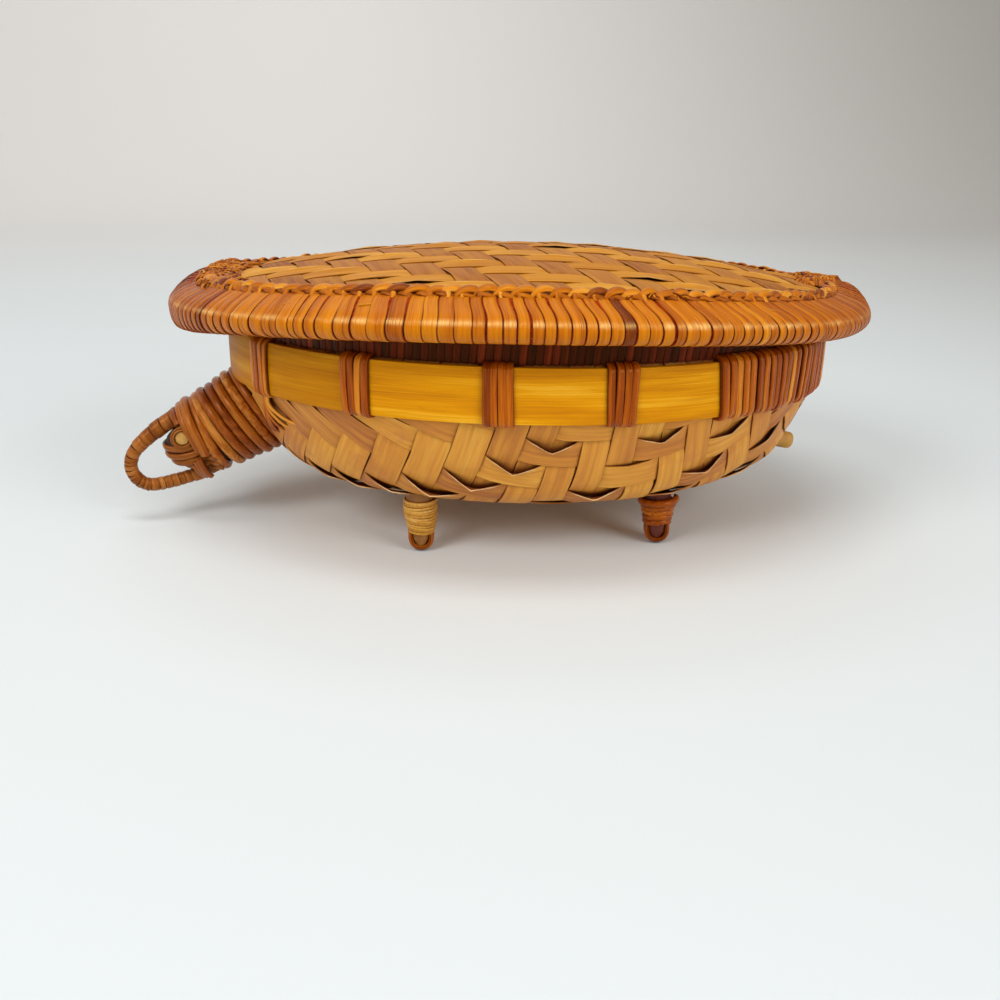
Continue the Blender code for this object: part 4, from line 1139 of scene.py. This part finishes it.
def make_loop():
    """A rod bound with close flat turns, and a plain bound end below."""
    pile = Pile()
    route = np.array([
        (17.0, 11.2), (20.5, 11.0), (26.3, 10.4), (31.0, 9.9), (37.5, 8.5), (42.6, 6.8), (46.2, 3.8),
        (47.7, 0.4), (47.4, -3.7), (45.4, -6.9), (41.5, -8.7), (35.5, -10.3), (30.5, -11.4), (25.0, -12.2),
        (19.0, -12.0),
    ])
    route = smooth_line(xyz(route[:, 0], 0, route[:, 1]), 110)
    side = np.array([0, 1.0, 0])
    up = np.cross(side, unit(np.gradient(route, axis=0)))
    pile.strand(route, up, 4.1, 4.1, 0.1, ROUND)
    pile.points[-1] = pile.points[-1] - np.repeat(up * 2.05, len(ROUND), 0)
    length = distances(route)
    end = length[-1]
    a = around(16)
    at = 0.4
    while at < end - 1.6:
        spot = at / end
        widest = (3.3, 4.4) if spot < 0.36 else (1.2, 2.0) if spot < 0.6 else (2.0, 3.4)
        pitch, share, slant, proud = draw(*widest), 1.0, 0.5, 0.0
        if at > end - 12.5:
            pitch, share, slant, proud = 6.6 if at < end - 8 else 7.4, 0.93, 0.12, 0.25
        where = at + pitch / 2 + slant * np.sin(a) + draw(-0.08, 0.08)
        outward = unit(between(where, length, up)) * np.cos(a)[:, None] + side * np.sin(a)[:, None]
        tone = random_tone(0.52, 0.15, 0.05, 0.95)
        tall = 0.42 * draw(0.8, 1.2) + proud
        rod = 2.02 + 0.72 * float(ease((0.42 - spot) / 0.3))
        points = between(where, length, route) + outward * rod
        pile.strand(points, outward, pitch * share, tall, tone, CANE, ring=True)
        at += pitch
    pile.build("carrying_loop_whipping", LOOP_LOOK, "rattan_brown", "carrying_loop", place=from_head)


# Feet and tail


def make_winding(name, x, y, front):
    """Fine strand in many turns on a front foot, and thick strand in few on a rear one."""
    pile = Pile()
    start, end = 6.2, BOWL_STANDOFF - x * math.tan(LEAN) - 0.3
    turns, width, thick = (13, 1.12, 0.8) if front else (5, 2.6, 1.95)
    per = 24
    t = np.arange(turns * per + 1) / per
    z = start + width / 2 + t * (end - start - width) / turns
    share = np.clip((z - 4.6) / 9.5, 0, 1)
    body = 3.35 + 1.75 * share if front else 2.9 + 1.0 * share + 1.5 * ease((z - end + 5.5) / 4.5)
    angle = math.tau * t
    slant = -0.16 * body * np.cos(angle) * ease((end - 3 - z) / 6) if front else 0.0
    outward = xyz(np.cos(angle), np.sin(angle), 0)
    points = xyz(x, y, z + 0.12 * np.sin(angle * 1.3) + slant)
    points += outward * (body + 0.12 * np.sin(angle * 0.37 + x))[:, None]
    tone = np.clip(0.5 + 0.2 * np.sin(t * 1.9 + x) + 0.1 * np.sin(t * 6.0), 0.05, 0.95)
    pile.strand(points, outward, width * 1.05, thick, tone[:, None])
    look, slot = (TAN_LOOK, "binding_tan") if front else (REAR_LOOK, "cane_orange")
    pile.build(f"{name}_foot_strand", look, slot, f"{name}_foot_wrap", place=standing)


def make_toe_strap(name, x, y):
    pile = Pile()
    half = [(-3.9, 8.6), (-3.95, 6.0), (-3.9, 3.6), (-3.0, 1.5), (-1.4, 0.55)]
    line = smooth_line(half + [(0, 0.35)] + [(-i, z) for i, z in half[::-1]], 30)
    away = unit(xyz(line[:, 0], 0, line[:, 1] - 6.5))
    for offset, tall in ((-1.2, 0.0), (1.2, 0.15)):
        points = xyz(x + line[:, 0] * (0.98 - abs(offset) * 0.04), y + offset, line[:, 1] + tall + 0.6)
        pile.strand(points - away * 0.9, away, 2.5, 1.6, 0.35 + 0.2 * draw())
    pile.build(f"{name}_toe_strands", REAR_LOOK, "cane_orange", f"{name}_toe_strap", place=standing)


def make_feet():
    for name, (x, y) in FEET.items():
        front = name.startswith("front")
        make_winding(name, x, y, front)
        make_toe_strap(name, x, y)
        dress(f"{name}_foot_peg", FRONT_PEG_LOOK if front else REAR_PEG_LOOK)


def make_tail():
    pile = Pile()
    a = around(20)
    ahead = np.array([math.cos(TAIL_DIP), 0, -math.sin(TAIL_DIP)])
    up = np.array([math.sin(TAIL_DIP), 0, math.cos(TAIL_DIP)])
    circle = np.cos(a)[:, None] * up + np.sin(a)[:, None] * [0, 1.0, 0]
    shape = (6, 0.3), (6, 2.9), (12, 2.9), (17.6, 3.1), (19, 2.9), (19.8, 2.2), (20.1, 1.1), (20.15, 0.1)
    rows = [TAIL_BASE + ahead * x + circle * (r * (1 + 0.03 * np.cos(2 * a + x)))[:, None] for x, r in shape]
    pile.grid(np.stack(rows, 0), np.arange(len(shape)) * 2.0, np.linspace(-0.6, 0.6, 20), 0.5)
    pile.build("tail_peg_round", PEG_LOOK, "binding_tan", "tail_peg")


# Floor, backdrop, lamps and camera, in metres


def make_stage():
    n = Nodes(bpy.data.materials.new("backdrop"))
    x, y, z = n.split(n.place())
    # The wall is painted darker towards the right and up, and the floor towards the right: painted shade
    wall = n.mix(n.span(n.add(x, n.times(z, 0.35)), -0.3, 1.25), "F6F2EE", "AEAAA3")
    floor = n.mix(n.span(x, 0.0, 0.55), "E4EAEA", "CDCFCD")
    base = n.mix(n.span(y, 0.3, 1.2), floor, wall)
    profile = [(-1.6, 0), (0.9, 0)]
    for a in np.linspace(0, math.pi / 2, 17)[1:]:
        profile.append((0.9 + 0.7 * math.sin(a), 0.7 - 0.7 * math.cos(a)))
    profile.append((1.6, 2.6))
    count = len(profile)
    mesh = bpy.data.meshes.new("backdrop")
    vertices = [(side, *place) for side in (-2.6, 2.6) for place in profile]
    mesh.from_pydata(vertices, [], [(k, k + 1, count + k + 1, count + k) for k in range(count - 1)])
    mesh.shade_smooth()
    mesh.materials.append(n.shade({"Base Color": base, "Roughness": 0.9, "Specular IOR Level": 0.1}))
    add_object("backdrop", mesh)


def make_lamp(name, place, target, size, power):
    light = bpy.data.lights.new(name, "AREA")
    light.shape = "RECTANGLE"
    light.size, light.size_y = size
    light.energy = power
    obj = add_object(name, light)
    obj.location = place
    obj.rotation_euler = (Vector(target) - Vector(place)).to_track_quat("-Z", "Y").to_euler()


def make_world():
    """Even white light, and a pale tone for what is seen past the floor."""
    world = bpy.data.worlds.new("studio")
    bpy.context.scene.world = world
    n = Nodes(world)
    light = n.tree.nodes["Background"]
    n.fill(light, {0: (1, 1, 1, 1), 1: 0.34})
    pale = n.put("Background", {0: (0.64, 0.63, 0.61, 1)})
    ray = n.put("LightPath").outputs
    reflected = n.calc("MAXIMUM", ray["Is Glossy Ray"], ray["Is Transmission Ray"])
    seen = n.calc("MAXIMUM", ray["Is Camera Ray"], reflected)
    pick = n.put("MixShader", {0: seen, 1: light.outputs[0], 2: pale.outputs[0]})
    n.fill(n.tree.nodes["World Output"], {0: pick.outputs[0]})


def make_camera():
    camera = bpy.data.cameras.new("photo_view")
    camera.lens = 39.06
    camera.clip_start = 0.01
    obj = add_object("photo_view", camera)
    obj.location = (0.00395, -0.3926, 0.148)
    obj.rotation_euler = (math.radians(69.6), 0, 0)
    bpy.context.scene.camera = obj


make_bowl()
make_dome()
make_lid_wrap()
make_braid()
make_band()
make_whipping()
make_lashings()
make_tie()
make_feet()
make_head_coils()
make_snout()
make_eyes()
make_loop()
make_tail()
for node in ("head_core", "snout"):
    dress(node, CORE_LOOK)
for node in ("inner_band", "rim_outer_hoop", "rim_inner_hoop", "lid_rim_rod", "lid_inner_hoop"):
    dress(node, HOOP_LOOK)

make_stage()
make_lamp("key", (-0.95, -1.1, 1.15), (0, 0, 0.05), (0.7, 0.7), 12.5)
make_lamp("fill", (1.15, -1.1, 0.85), (0, 0, 0.05), (0.8, 0.8), 11.5)
make_lamp("top", (-0.05, -0.38, 1.42), (0, 0, 0.05), (0.9, 0.35), 6.2)
make_lamp("wall", (-0.1, 0.75, 1.7), (0, 1.5, 0.1), (1.2, 0.8), 3.0)
make_world()
make_camera()
bpy.context.scene.view_settings.view_transform = "Standard"
